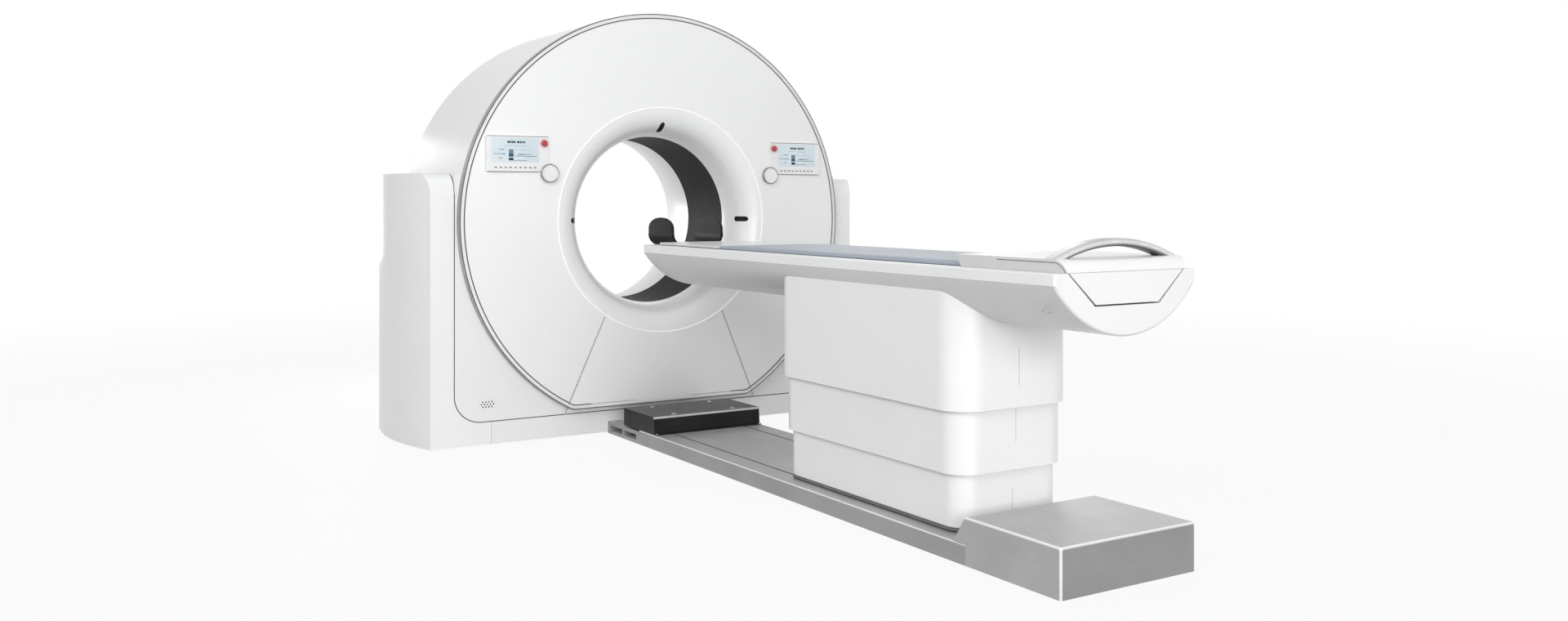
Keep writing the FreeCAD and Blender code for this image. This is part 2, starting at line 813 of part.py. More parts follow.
def tower_outline(side, inset):
    """Plan of a tower: straight inner side, bowed outer side."""
    front, rear = FRAME_FRONT + inset, FRAME_REAR - inset
    inner = FRAME_HALF + inset
    outer = FRAME_HALF + S.tower_width - inset
    half_chord = (rear - front) / 2
    radius = (half_chord * half_chord + S.tower_bulge * S.tower_bulge) / (S.tower_bulge * 2)
    return [(side * inner, front), (side * outer, front),
            Arc(side * outer, rear, radius, side), (side * inner, rear)]


def tower_profile(inset):
    """Side view of a tower with its rounded top edges."""
    front, rear = FRAME_FRONT + inset, FRAME_REAR - inset
    top = S.tower_height - inset
    radius = S.tower_round - inset
    low = S.floor_gap - inset
    return [(front, low), (rear, low), (rear, top - radius), Arc(rear - radius, top, radius),
            (front + radius, top), Arc(front, top - radius, radius)]


def tower_form(name, side, inset):
    reach = (side * (FRAME_HALF + inset), side * (FRAME_HALF + S.tower_width + S.tower_bulge * 2))
    low, high = reach if side > 0 else reach[::-1]
    return common(name, prism(f"{name}_plan", "XY", [tower_outline(side, inset)], 0, S.tower_height),
                  prism(f"{name}_profile", "YZ", [tower_profile(inset)], low, high))


def tower(side, side_name):
    """Bowed tower cover with the foot that turns in under the frame panel."""
    outer = tower_form(f"{side_name}_tower_outer", side, as_size(0))
    inner = tower_form(f"{side_name}_tower_inner", side, S.tower_wall)
    near, far = FRAME_HALF, PLINTH_HALF + S.seam
    corner_r = S.panel_corner
    foot_steps = [(side * (near + S.tower_wall), S.floor_gap), (side * far, S.floor_gap),
                  (side * far, PLINTH_TOP), (side * (near - corner_r), PLINTH_TOP),
                  Arc(side * near, PLINTH_TOP + corner_r, corner_r, side),
                  (side * (near + S.tower_wall), PLINTH_TOP + corner_r)]
    foot = prism(f"{side_name}_tower_foot", "XZ", [foot_steps], FRAME_FRONT, FRAME_FRONT + S.plinth_return)
    inner_edge = span(side * (near - S.cut_past), side * (near + S.tower_wall + S.cut_past))
    depth = (FRAME_FRONT + S.plinth_return, FRAME_REAR - S.plinth_return)
    passage = box(f"{side_name}_tower_passage", inner_edge, depth, (0, S.base_thick + S.fit_gap))
    shell = cut(f"{side_name}_tower_shell", outer, inner, passage)
    node(fuse(f"{side_name}_tower_all", shell, foot), f"{side_name}_tower_cover")


def frame_outline(inset):
    """Outline of the panel between the towers, rounded at its lower corners."""
    half = FRAME_HALF - S.seam - inset
    low = PLINTH_TOP + S.seam + inset
    radius = S.panel_corner - S.seam - inset
    top = S.tower_height - inset
    return [(-half + radius, low), (half - radius, low), Arc(half, low + radius, radius),
            (half, top), (-half, top), (-half, low + radius), Arc(-half + radius, low, radius)]


def frame_panel(name, face, direction, opening):
    """Flanged panel that fills the frame round the drum."""
    near = face if direction > 0 else face - S.panel_return
    far = face + S.panel_return if direction > 0 else face
    before, behind = near - S.cut_past, far + S.cut_past
    inner_near = near + S.panel_wall if direction > 0 else before
    inner_far = behind if direction > 0 else far - S.panel_wall
    outer = prism(f"{name}_outer", "XZ", [frame_outline(as_size(0))], near, far)
    inner = prism(f"{name}_inner", "XZ", [frame_outline(S.panel_wall)], inner_near, inner_far)
    drum_hole = disc_prism(f"{name}_hole", S.seam - S.fit_gap, before, behind)
    return node(cut(f"{name}_plate", outer, inner, drum_hole, *opening), name)


def grille_place():
    return -FRAME_HALF + S.grille_inset, PLINTH_TOP + S.grille_rise


def grille_area(name, gap, low, high):
    x, z = grille_place()
    half_length = S.grille_length / 2 + gap
    half_height = S.grille_height / 2 + gap
    return prism(name, "XZ", [round_rectangle((x - half_length, x + half_length),
                                              (z - half_height, z + half_height), S.panel_round)], low, high)


def speaker_grille():
    """Insert with three rows of sound holes."""
    face, back = FRAME_FRONT, FRAME_FRONT + S.panel_wall
    insert = grille_area("grille_plate", as_size(0), face, back)
    x, z = grille_place()
    holes = []
    for row, count in ((-1, 4), (0, 5), (1, 4)):
        for index in range(count):
            across = x + (index - (count - 1) / 2) * S.grille_pitch
            holes.append(Circle(across, z + row * S.grille_row, S.grille_hole))
    pocket(insert, "XZ", holes, face - S.cut_past, back + S.cut_past)
    node(insert, "speaker_grille")


def plinth(name, face, direction):
    """Channel-shaped plinth cover between the towers' feet."""
    turn = face + direction * S.plinth_return
    wall = direction * S.panel_wall
    low, high = S.floor_gap, PLINTH_TOP
    outline = [(face, low), (turn, low), (turn, low + S.panel_wall), (face + wall, low + S.panel_wall),
               (face + wall, high - S.panel_wall), (turn, high - S.panel_wall), (turn, high), (face, high)]
    return prism(name, "YZ", [outline], -PLINTH_HALF, PLINTH_HALF)


def frame_covers():
    for side, side_name in SIDES:
        tower(side, side_name)
    hole = grille_area("grille_hole_zone", S.fit_gap, FRAME_FRONT - S.cut_past,
                       FRAME_FRONT + S.panel_wall + S.cut_past)
    frame_panel("front_panel", FRAME_FRONT, 1, [hole])
    frame_panel("rear_panel", FRAME_REAR, -1, [])
    speaker_grille()
    node(fuse("plinths_all", plinth("front_plinth", FRAME_FRONT, 1), plinth("rear_plinth", FRAME_REAR, -1)),
         "gantry_plinths")


# ---------------------------------------------------------------- frame and rotor

def fixed_frame():
    """Floor plate, standing plate with the outer race, motor ring, brushes and cabinets."""
    front = FRAME_FRONT + S.plinth_return
    rear = FRAME_REAR - S.plinth_return
    middle = (front + rear) / 2
    base_half = FRAME_HALF + S.base_reach
    base = prism("base", "XY", [rectangle((-base_half, base_half), (front, rear))], 0, S.base_thick)
    anchors = [Circle(across * (base_half - S.anchor_inset), y, S.anchor_radius)
               for across in (-1, 1) for y in (front + S.anchor_setback, rear - S.anchor_setback)]
    pocket(base, "XY", anchors, -S.cut_past, S.base_thick + S.cut_past)
    node(base, "gantry_base_plate")
    near, far = S.stator_y, S.stator_y + S.stator_thick
    low = S.base_thick - ISO
    foot, radius = S.stator_foot_half, MOTOR_OUT + S.stator_rim
    shoulder = -(radius * radius - foot * foot).root()
    plate = prism("stator", "XZ", [[(-foot, low), (foot, low), (foot, shoulder),
                                    Arc(-foot, shoulder, radius, 1, True)],
                                   Circle(0, 0, RACE_RUN + S.stator_step)], near, far)
    bind(plate, ".Placement.Base.z", ISO)
    node(plate, "stator_frame")
    node(turned("outer_race", rectangle((ROTOR_BACK + S.race_gap, near), (RACE_RUN + S.run_gap, RACE_OUT))),
         "bearing_outer_race")
    node(turned("motor_stator", rectangle((near - S.motor_thick, near), (MOTOR_IN, MOTOR_OUT))),
         "drive_stator")
    brush_low = ISO + HUB_OUT + S.slip_height + S.fit_gap
    node(box("brushes", (-S.brush_width / 2, S.brush_width / 2), (far, far + S.brush_length),
             (brush_low, brush_low + S.brush_height)), "brush_block")
    cabinet_x = FRAME_HALF + S.cabinet_gap
    cabinets = [box(f"{side_name}_cabinet", span(side * cabinet_x, side * (cabinet_x + S.cabinet_width)),
                    (middle - S.cabinet_depth / 2, middle + S.cabinet_depth / 2),
                    (S.base_thick, S.base_thick + S.cabinet_height)) for side, side_name in SIDES]
    node(fuse("cabinets", *cabinets), "electronics_cabinets")


def on_rotor(name, angle, place, width, height, length):
    """A block bolted to the rotor's face at an angle round the bore, measured from +X."""
    block = doc.addObject("Part::Box", name)
    bind(block, "Length", height)
    bind(block, "Width", length)
    bind(block, "Height", width)
    radians = math.radians(angle)
    rotation = FreeCAD.Rotation(Vector(0, 1, 0), -angle)
    radial = Vector(math.cos(radians), 0, math.sin(radians))
    tangent = Vector(-math.sin(radians), 0, math.cos(radians))
    block.Placement = FreeCAD.Placement(Vector(0, 0, 0), rotation)
    start = place - height / 2
    half = width / 2
    bind(block, ".Placement.Base.x", start * radial.x - half * tangent.x)
    bind(block, ".Placement.Base.y", S.rotor_y - length)
    bind(block, ".Placement.Base.z", ISO + start * radial.z - half * tangent.z)
    return block


def rotor():
    """Rotating ring with the tube, collimator, generator, cooler, detector and weights."""
    face, back = S.rotor_y, ROTOR_BACK
    slip_start = S.stator_y + S.stator_thick + S.slip_gap
    hub_end = slip_start + S.slip_thick
    rim = MOTOR_OUT + S.rotor_rim
    node(turned("ring_plate", [(face, HUB_IN), (hub_end, HUB_IN), (hub_end, HUB_OUT), (back, HUB_OUT),
                               (back, rim), (face, rim)]), "rotor_ring")
    node(turned("inner_race", rectangle((back, S.stator_y), (HUB_OUT, RACE_RUN))), "bearing_inner_race")
    magnet_end = S.stator_y - S.motor_thick - S.motor_gap
    node(turned("magnets", rectangle((back, magnet_end), (MOTOR_IN, MOTOR_OUT))), "drive_rotor")
    node(turned("slip", rectangle((slip_start, hub_end), (HUB_OUT, HUB_OUT + S.slip_height))), "slip_ring")
    housing = prism("tube_housing", "XZ", [Circle(0, TUBE_PLACE, S.tube_radius)], face - S.tube_length, face)
    bind(housing, ".Placement.Base.z", ISO)
    node(housing, "xray_tube")
    under_tube = TUBE_PLACE - S.tube_radius - S.collimator_height / 2
    node(on_rotor("collimator_box", 90, under_tube, S.collimator_width, S.collimator_height,
                  S.collimator_length), "collimator")
    node(on_rotor("generator_box", 180, UNIT_PLACE, S.generator_width, S.generator_height,
                  S.generator_length), "hv_generator")
    node(on_rotor("cooler_box", 0, UNIT_PLACE, S.cooler_width, S.cooler_height,
                  S.cooler_length), "tube_cooler")
    detector()
    weights = [on_rotor(f"weight_{angle}", angle, UNIT_PLACE, S.weight_width,
                        S.weight_height, S.weight_length) for angle in (-155, -25)]
    node(fuse("weights", *weights), "counterweights")


def detector():
    """Detector modules on an arc about the focal spot."""
    half = math.radians(SIZES["detector_half_angle"])
    near = TUBE_PLACE + S.bore_radius + S.detector_room
    far = near + S.detector_thick
    sine, cosine = math.sin(half), math.cos(half)
    outline = [(-(near * sine), TUBE_PLACE - near * cosine),
               Arc(near * sine, TUBE_PLACE - near * cosine, near),
               (far * sine, TUBE_PLACE - far * cosine),
               Arc(-(far * sine), TUBE_PLACE - far * cosine, far, -1)]
    body = prism("detector", "XZ", [outline], S.rotor_y - S.detector_width, S.rotor_y)
    bind(body, ".Placement.Base.z", ISO)
    node(body, "detector_arc")


# ---------------------------------------------------------------- control panels

def panel_outline(side, inset):
    """The rounded rectangle of a control panel."""
    ends = span(side * (PANEL_IN + inset), side * (PANEL_OUT - inset))
    middle = ISO + S.panel_z
    half_height = S.panel_height / 2 - inset
    return [round_rectangle(ends, (middle - half_height, middle + half_height), S.panel_round - inset)]


def dial_place(side):
    return side * (PANEL_IN - S.dial_shift), ISO + S.panel_z - S.dial_z


def control_panel(side, side_name):
    """Housing with a screen, a row of keys, a stop button and a dial; gives back the keys."""
    face = -S.panel_front
    ahead = face - S.cut_past
    middle = ISO + S.panel_z
    gap = S.fit_gap
    dial_x, dial_z = dial_place(side)
    stop_x, stop_z = side * (PANEL_IN + S.stop_inset), middle + S.stop_z
    screen_x, screen_z = side * (PANEL_X + S.screen_shift), middle + S.screen_rise
    half_width, half_height = SCREEN_WIDTH / 2, S.screen_height / 2

    def screen_outline(room):
        return [rectangle((screen_x - half_width - room, screen_x + half_width + room),
                          (screen_z - half_height - room, screen_z + half_height + room))]

    plate = prism(f"{side_name}_plate", "XZ", panel_outline(side, as_size(0)), face, face + S.panel_depth)
    boss = prism(f"{side_name}_boss", "XZ", [Circle(dial_x, dial_z, S.dial_boss)], face, face + S.cover_wall)
    recess = prism(f"{side_name}_recess", "XZ", screen_outline(gap), ahead, face + S.screen_depth)
    stop_hole = prism(f"{side_name}_stop_hole", "XZ", [Circle(stop_x, stop_z, S.stop_stem + S.run_gap)],
                      ahead, face + S.stop_reach + S.stop_room)
    dial_hole = prism(f"{side_name}_dial_hole", "XZ", [Circle(dial_x, dial_z, S.dial_stem + S.run_gap)],
                      ahead, face + S.dial_reach + S.cut_past)
    node(cut(f"{side_name}_housing_cut", fuse(f"{side_name}_housing", plate, boss),
             recess, stop_hole, dial_hole), f"{side_name}_panel_housing")
    node(prism(f"{side_name}_glass", "XZ", screen_outline(as_size(0)), face, face + S.screen_depth),
         f"{side_name}_screen")

    cap_front = face - S.stop_proud
    button = prism(f"{side_name}_stop", "XZ", [Circle(stop_x, stop_z, S.stop_radius)],
                   cap_front, cap_front + S.stop_cap)
    pad(button, "XZ", [Circle(stop_x, stop_z, S.stop_stem)], cap_front + S.stop_cap, face + S.stop_reach)
    node(button, f"{side_name}_stop_button")

    dial_front = face - gap - S.dial_thick
    dial = prism(f"{side_name}_dial_disc", "XZ", [Circle(dial_x, dial_z, S.dial_radius)],
                 dial_front, face - gap)
    pad(dial, "XZ", [Circle(dial_x, dial_z, S.dial_stem)], face - gap, face + S.dial_reach)
    groove = S.dial_radius - S.dial_rim
    pocket(dial, "XZ", [Circle(dial_x, dial_z, groove), Circle(dial_x, dial_z, groove - S.dial_groove_width)],
           dial_front - S.cut_past, dial_front + S.dial_groove_depth)
    node(dial, f"{side_name}_dial")

    count = SIZES["key_count"]
    pitch = (SCREEN_WIDTH - S.key_inset * 2) / (count - 1)
    key_z = middle - S.key_drop
    keys = []
    for index in range(count):
        key_x = screen_x + (index - (count - 1) / 2) * pitch
        outline = rectangle((key_x - S.key_length / 2, key_x + S.key_length / 2),
                            (key_z - S.key_height / 2, key_z + S.key_height / 2))
        keys.append(prism(f"{side_name}_key_{index}", "XZ", [outline], face - S.key_proud, face))
    return keys


def control_panels():
    keys = []
    for side, side_name in SIDES:
        keys += control_panel(side, side_name)
    node(fuse("keys", *keys), "panel_keys")


# ---------------------------------------------------------------- floor rail

def rail():
    """Slotted floor rail with its end block, link cover, brackets and guide rails."""
    half, top, deck = RAIL_HALF, S.rail_height, RAIL_DECK
    slot_in, slot_out = SLOT_X - S.slot_width / 2, SLOT_X + S.slot_width / 2
    wall_in, wall_out = SLOT_X - S.channel_half, SLOT_X + S.channel_half
    edge = S.rail_edge
    right = [(half, 0), (half, top - edge), Arc(half - edge, top, edge), (slot_out, top), (slot_out, deck),
             (wall_out, deck), (wall_out, S.rail_wall), (wall_in, S.rail_wall), (wall_in, deck),
             (slot_in, deck), (slot_in, top)]
    left = [(-slot_in, top), (-slot_in, deck), (-wall_in, deck), (-wall_in, S.rail_wall),
            (-wall_out, S.rail_wall), (-wall_out, deck), (-slot_out, deck), (-slot_out, top),
            (-half + edge, top), Arc(-half, top - edge, edge), (-half, 0)]
    core = wall_in - S.rail_wall
    bed = prism("rail_profile", "XZ", [right + left, rectangle((-core, core), (S.rail_wall, deck))],
                -S.rail_far, -S.rail_near)
    node(bed, "rail_bed")
    guide_half = S.guide_width / 2
    guides = [box(f"guide_{side_name}", (side * SLOT_X - guide_half, side * SLOT_X + guide_half),
                  (-S.rail_far, -S.rail_near), (S.rail_wall, S.rail_wall + S.guide_height))
              for side, side_name in SIDES]
    node(fuse("guides", *guides), "guide_rails")
    end_block()
    link_cover()
    rail_brackets()


def block_profile(inset):
    """Side view of the end block: a sloping wall down to the rail's deck."""
    head = -S.rail_far - inset
    foot = -S.rail_far - S.block_length + inset
    toe = -S.rail_far + S.block_toe - inset
    top = S.block_height - inset
    deck = S.rail_height + S.fit_gap
    return [(foot, -inset), (head, -inset), (head, deck), (toe, deck), (head, top), (foot, top)]


def end_block():
    """Hollow block over the foot end of the rail."""
    body = new_body("end_block_outer")
    last = pad(body, "YZ", [block_profile(as_size(0))], -RAIL_HALF, RAIL_HALF)
    top, small = SIZES["block_height"], SIZES["block_round"]

    def upper_edge(edge):
        room = edge.BoundBox
        level = room.ZMin > top - small
        upright = room.ZLength > top - small and room.YLength < small
        return level or upright

    rounded(last, body, S.block_round, upper_edge)
    inner = prism("end_block_inner", "YZ", [block_profile(S.block_wall)],
                  -RAIL_HALF + S.block_wall, RAIL_HALF - S.block_wall)
    node(cut("end_block_shell", body, inner), "rail_end_block")


def link_cover():
    """Low smoked hood over the place where the rail meets the gantry."""
    far, near = -S.rail_near - S.link_far, -S.rail_near + S.link_near
    top, slope, wall = S.link_top, S.link_slope, S.link_wall
    half = RAIL_HALF - S.link_inset
    low = S.rail_height + S.fit_gap
    under = low - S.cut_past
    section = [(far, low), (near, low), (near, top), (far + slope, top)]
    outer = prism("link_outer", "YZ", [section], -half, half)
    inner = prism("link_inner", "YZ", [[(far + wall, under), (near - wall, under), (near - wall, top - wall),
                                        (far + slope + wall, top - wall)]], -half + wall, half - wall)
    flange = box("link_lip", (-half, half), (far - S.link_flange, far + S.cut_past), (low, low + wall))
    node(fuse("link_all", cut("link_shell", outer, inner), flange), "rail_link_cover")


def rail_brackets():
    """A ladder-shaped fitting on each side between the rail and the gantry's plinth."""
    parts = []
    near, far = FRAME_FRONT, -S.rail_near
    bar, post = S.bracket_bar, S.bracket_post
    middle = (near + far) / 2
    top = S.rail_height - S.rail_wall
    for side, side_name in SIDES:
        windows = [rectangle((far + post, middle - bar / 2), (bar, top - bar)),
                   rectangle((middle + bar / 2, near - post), (bar, top - bar))]
        ends = span(side * RAIL_HALF, side * (RAIL_HALF - S.bracket_width))
        parts.append(prism(f"bracket_{side_name}", "YZ", [rectangle((far, near), (0, top))] + windows, *ends))
    node(fuse("brackets", *parts), "rail_brackets")


# ---------------------------------------------------------------- carriage and lift

def column_outline(steps_out, inset=0):
    """Plan of a lift cover, stepped out from the lowest one."""
    grow = S.cover_step * steps_out - inset
    half = S.column_half + grow
    return round_rectangle((-half, half), (-S.column_foot - grow, -S.column_head + grow),
                           S.column_corner + grow)


def lift_cover(name, steps_out, low, high):
    return prism(name, "XY", [column_outline(steps_out), column_outline(steps_out, S.lift_wall)], low, high)


def tube_centres():
    return [COLUMN_Y - S.tube_spread / 2, COLUMN_Y + S.tube_spread / 2]


def tube_pair(name, radius, low, high):
    """Two upright tubes of one telescoping stage."""
    hole = radius - S.tube_wall
    return [prism(f"{name}_{index}", "XY", [Circle(0, y, radius), Circle(0, y, hole)], low, high)
            for index, y in enumerate(tube_centres())]


def carriage_leg(name, x, y):
    """A thin leg through the rail's slot, on a shoe that is grooved for the guide rail."""
    ends = (y - S.leg_length / 2, y + S.leg_length / 2)
    shoe_top = RAIL_DECK - S.runner_room
    leg = box(f"leg_{name}", (x - S.leg_width / 2, x + S.leg_width / 2), ends, (shoe_top, CARRIAGE_LOW))
    shoe = box(f"shoe_{name}", (x - S.runner_width / 2, x + S.runner_width / 2), ends,
               (S.rail_wall + S.runner_lift, shoe_top))
    groove_half = S.guide_width / 2 + S.fit_gap
    groove = box(f"shoe_groove_{name}", (x - groove_half, x + groove_half),
                 (ends[0] - S.cut_past, ends[1] + S.cut_past), (0, S.rail_wall + S.guide_height + S.fit_gap))
    return [leg, cut(f"runner_{name}", shoe, groove)]


def carriage():
    """Plate that rides on the guide rails by legs through the slots."""
    parts = [prism("carriage_plate", "XY", [column_outline(0)], CARRIAGE_LOW, CARRIAGE_TOP)]
    for side, side_name in SIDES:
        for end, end_name in ((-1, "foot"), (1, "head")):
            parts += carriage_leg(f"{side_name}_{end_name}", side * SLOT_X, COLUMN_Y + end * S.leg_place)
    node(fuse("carriage_all", *parts), "couch_carriage")
    node(lift_cover("lower_shell", 0, CARRIAGE_TOP, S.lower_top), "lower_lift_cover")
    node(fuse("outer_tubes", *tube_pair("outer_tube", S.outer_tube, CARRIAGE_TOP, S.lower_top)),
         "lift_outer_tubes")


def lift():
    """Middle and upper stages: tubes, the plates that carry the covers, and the covers."""
    middle_radius = S.outer_tube - S.tube_wall - S.run_gap
    inner_radius = middle_radius - S.tube_wall - S.run_gap
    plate_low = S.middle_top - S.lift_plate
    node(lift_cover("middle_shell", 1, S.lower_top - S.middle_lap, S.middle_top), "middle_lift_cover")
    plate_holes = [Circle(0, y, inner_radius + S.run_gap) for y in tube_centres()]
    plate_outline = column_outline(1, S.lift_wall)
    plate = prism("middle_plate", "XY", [plate_outline] + plate_holes, plate_low, S.middle_top)
    tubes = tube_pair("middle_tube", middle_radius, S.lower_top - S.middle_tube_lap, plate_low)
    node(fuse("middle_stage", plate, *tubes), "lift_middle_tubes")
    shell = lift_cover("upper_blank", 2, S.middle_top - S.upper_lap, CREASE)
    node(cut("upper_shell", shell, hull_form("hull_for_cover")), "upper_lift_cover")
    saddle_low = HULL_LOW - S.saddle_drop
    tubes = tube_pair("inner_tube", inner_radius, S.middle_top - S.inner_tube_lap, saddle_low)
    ends = tube_centres()
    saddle_blank = box("saddle_blank", (-S.saddle_half, S.saddle_half),
                       (ends[0] - S.saddle_overhang, ends[1] + S.saddle_overhang),
                       (saddle_low, HULL_LOW + S.saddle_rise))
    saddle = cut("saddle", saddle_blank, hull_form("hull_for_saddle"))
    node(fuse("inner_stage", saddle, *tubes), "lift_inner_tubes")


# ---------------------------------------------------------------- table top

def hull_arc(inset):
    """Radius of the hull's underside, its half width and the height of its ends."""
    half = S.hull_half
    rise = CREASE - HULL_LOW
    radius = (half * half + rise * rise) / (rise * 2)
    inner_half = half - inset
    inner_radius = radius - inset
    end = HULL_LOW + radius - (inner_radius * inner_radius - inner_half * inner_half).root()
    return inner_radius, inner_half, end


def hull_form(name):
    """The full outside of the hull without its channel."""
    radius, half, end = hull_arc(as_size(0))
    outline = [(-half, end), Arc(half, end, radius), (half, HULL_TOP), (-half, HULL_TOP)]
    return prism(name, "XZ", [outline], -S.table_foot, -S.table_head)


def hull():
    """Boat-shaped hull that is closed at both ends, and the channel's floor and sides in it."""
    radius, half, end = hull_arc(as_size(0))
    inner_radius, inner_half, inner_end = hull_arc(S.hull_wall)
    top, bevel, wall = HULL_TOP, S.hull_bevel, S.hull_wall
    right = [(-half, end), Arc(half, end, radius), (half, top - bevel), (half - bevel, top)]
    left = [(-half + bevel, top), (-half, top - bevel)]
    inside = [(inner_half, top), (inner_half, inner_end), Arc(-inner_half, inner_end, inner_radius, -1),
              (-inner_half, top)]
    channel = [(CHANNEL_HALF, top), (CHANNEL_FOOT, CHANNEL_LOW), (-CHANNEL_FOOT, CHANNEL_LOW),
               (-CHANNEL_HALF, top)]
    notch_half = S.tongue_half + S.tongue_room
    notch_low = top - S.tongue_thick - S.tongue_room
    notch = [(notch_half, top), (notch_half, notch_low), (-notch_half, notch_low), (-notch_half, top)]
    body = new_body("hull_shell")
    pad(body, "XZ", [right + inside + left], -S.table_foot + wall, -S.table_head - wall)
    pad(body, "XZ", [right + notch + left], -S.table_head - wall, -S.table_head)
    last = pad(body, "XZ", [right + channel + left], -S.table_foot, -S.table_foot + wall)
    foot = -SIZES["table_foot"]
    near = SIZES["hull_bevel"] / 2

    def foot_edge(edge):
        room = edge.BoundBox
        lowest = room.ZMin < HULL_LOW.value + near
        upright = room.XLength < near < room.ZLength
        return room.YMax < foot + near and (lowest or upright)

    rounded(last, body, S.hull_round, foot_edge)
    node(body, "table_hull")
    low, under = CHANNEL_LOW - wall, top - wall
    low_half = CHANNEL_FOOT + wall / 2
    floor = [(-CHANNEL_FOOT, CHANNEL_LOW), (-low_half, low), (low_half, low), (CHANNEL_FOOT, CHANNEL_LOW)]
    strips = {"channel_floor": floor}
    for side, side_name in SIDES:
        strips[f"channel_{side_name}"] = [
            (side * inner_half, top), (side * CHANNEL_HALF, top), (side * CHANNEL_FOOT, CHANNEL_LOW),
            (side * low_half, low), (side * (CHANNEL_HALF + wall), under), (side * inner_half, under)]
    sheet = doc.addObject("Part::Compound", "channel_strips")
    sheet.Links = [prism(name, "XZ", [strip], -S.table_foot + wall, -S.table_head - wall)
                   for name, strip in strips.items()]
    node(sheet, "hull_channel")


def cradle():
    """Sliding top with its foot block and the arched handle."""
    plate = prism("cradle_plate", "XZ", [rectangle((-CRADLE_HALF, CRADLE_HALF),
                                                   (CRADLE_LOW, CRADLE_LOW + S.cradle_thick))],
                  BLOCK_FRONT, -S.table_head)
    node(plate, "cradle")
    handle(foot_block())


def block_side_view():
    """Side view of the foot block's slab with its rounded shoulder."""
    foot, low, top, nose = -S.table_foot, CRADLE_LOW, BLOCK_TOP, S.block_nose
    drop = top - low
    radius = (nose * nose + drop * drop) / (drop * 2)
    return [(foot, low), (BLOCK_FRONT, low), (BLOCK_FRONT, top), (foot + nose, top),
            Arc(foot, low + S.block_edge, radius)]


def block_end_view(rise):
    """End view of the slab, with sides that lean out, and the room above it."""
    return [(-CHANNEL_HALF, CRADLE_LOW), (CHANNEL_HALF, CRADLE_LOW), (BLOCK_HALF, BLOCK_TOP),
            (BLOCK_HALF, BLOCK_TOP + rise), (-BLOCK_HALF, BLOCK_TOP + rise), (-BLOCK_HALF, BLOCK_TOP)]


def foot_block():
    """White end block: a slab with a rounded shoulder and a wedge that hangs in the hull."""
    foot, gap = -S.table_foot, S.wedge_gap
    slab = common("block_slab", prism("block_side", "YZ", [block_side_view()], -BLOCK_HALF, BLOCK_HALF),
                  prism("block_end", "XZ", [block_end_view(S.cut_past)], foot, BLOCK_FRONT))
    wedge_end = [(-CHANNEL_FOOT + gap, CHANNEL_LOW + gap), (CHANNEL_FOOT - gap, CHANNEL_LOW + gap),
                 (CHANNEL_HALF - gap, CRADLE_LOW), (-CHANNEL_HALF + gap, CRADLE_LOW)]
    wedge = prism("block_wedge", "XZ", [wedge_end], foot, foot + S.block_panel)
    node(fuse("block_all", slab, wedge), "foot_block")
    return slab


def handle(slab):
    """Flat round-edged grip, bent to an arch that stands on the slab and follows its shoulder."""
    rise = S.handle_rise - S.handle_thick / 2
    half = BLOCK_HALF - S.handle_inset
    radius = (half * half + rise * rise) / (rise * 2)
    y = -S.table_foot + S.handle_place
    sides = (y - S.handle_depth / 2, y + S.handle_depth / 2)
    body = new_body("handle_arch")
    feature = body.newObject("PartDesign::Revolution", "handle_turn")
    half_thick = S.handle_thick / 2
    section = round_rectangle(sides, (radius - half_thick, radius + half_thick), S.handle_round)
    profile = new_sketch(body, "YZ", [section])
    feature.Profile = profile
    feature.ReferenceAxis = (profile, ["H_Axis"])
    feature.Midplane = True
    feature.Angle = 90
    bind(body, ".Placement.Base.z", BLOCK_TOP + rise - radius)
    room = prism("handle_room", "XZ", [block_end_view(S.handle_rise * 2)], *sides)
    node(cut("handle_feet", common("handle_over_block", body, room), slab), "grab_handle")


# ---------------------------------------------------------------- patient supports

def mat_section(y, half, low, top, crown, draw):
    """Section of the mat: crowned top and drawn-in sides."""
    middle = (low + top) / 2
    points = [Vector(x, y, z) for x, z in (
        (-half, low), (-half + draw, middle), (-half, top), (0, top + crown),
        (half, top), (half - draw, middle), (half, low))]
    edges = [Part.Arc(points[0], points[1], points[2]).toShape(),
             Part.Arc(points[2], points[3], points[4]).toShape(),
             Part.Arc(points[4], points[5], points[6]).toShape(),
             Part.LineSegment(points[6], points[0]).toShape()]
    return Part.Wire(edges)


def mattress():
    """Foam mat that thins toward the head end and wraps over the cradle's edges."""
    half = (CRADLE_HALF + S.mat_lap).value
    low = (HULL_TOP + S.fit_gap * 2).value
    top_edge = (HULL_TOP + S.mat_rise - S.mat_crown).value
    over = low + S.cradle_thick.value
    crown, draw, tip = S.mat_crown.value, S.mat_draw.value, S.mat_tip.value
    foot = (BLOCK_FRONT + S.fit_gap).value
    head = (-S.table_head - S.mat_setback).value
    shoulder = head - S.mat_taper.value
    stations = ((foot, top_edge, crown), (shoulder, top_edge, crown), (head, over + tip, crown / 4))
    wires = [mat_section(y, half, low, level, bow, draw * (level - low) / (top_edge - low))
             for y, level, bow in stations]
    foam = Part.makeLoft(wires, True, True)
    past = S.cut_past.value
    room_half = (CRADLE_HALF + S.fit_gap).value
    room = Part.makeBox(2 * room_half, head - foot + 2 * past, over - low + past,
                        Vector(-room_half, foot - past, low - past))
    feature = doc.addObject("Part::Feature", "mat")
    feature.Shape = foam.cut(room)
    feature.Placement = FreeCAD.Placement()
    node(feature, "mattress")


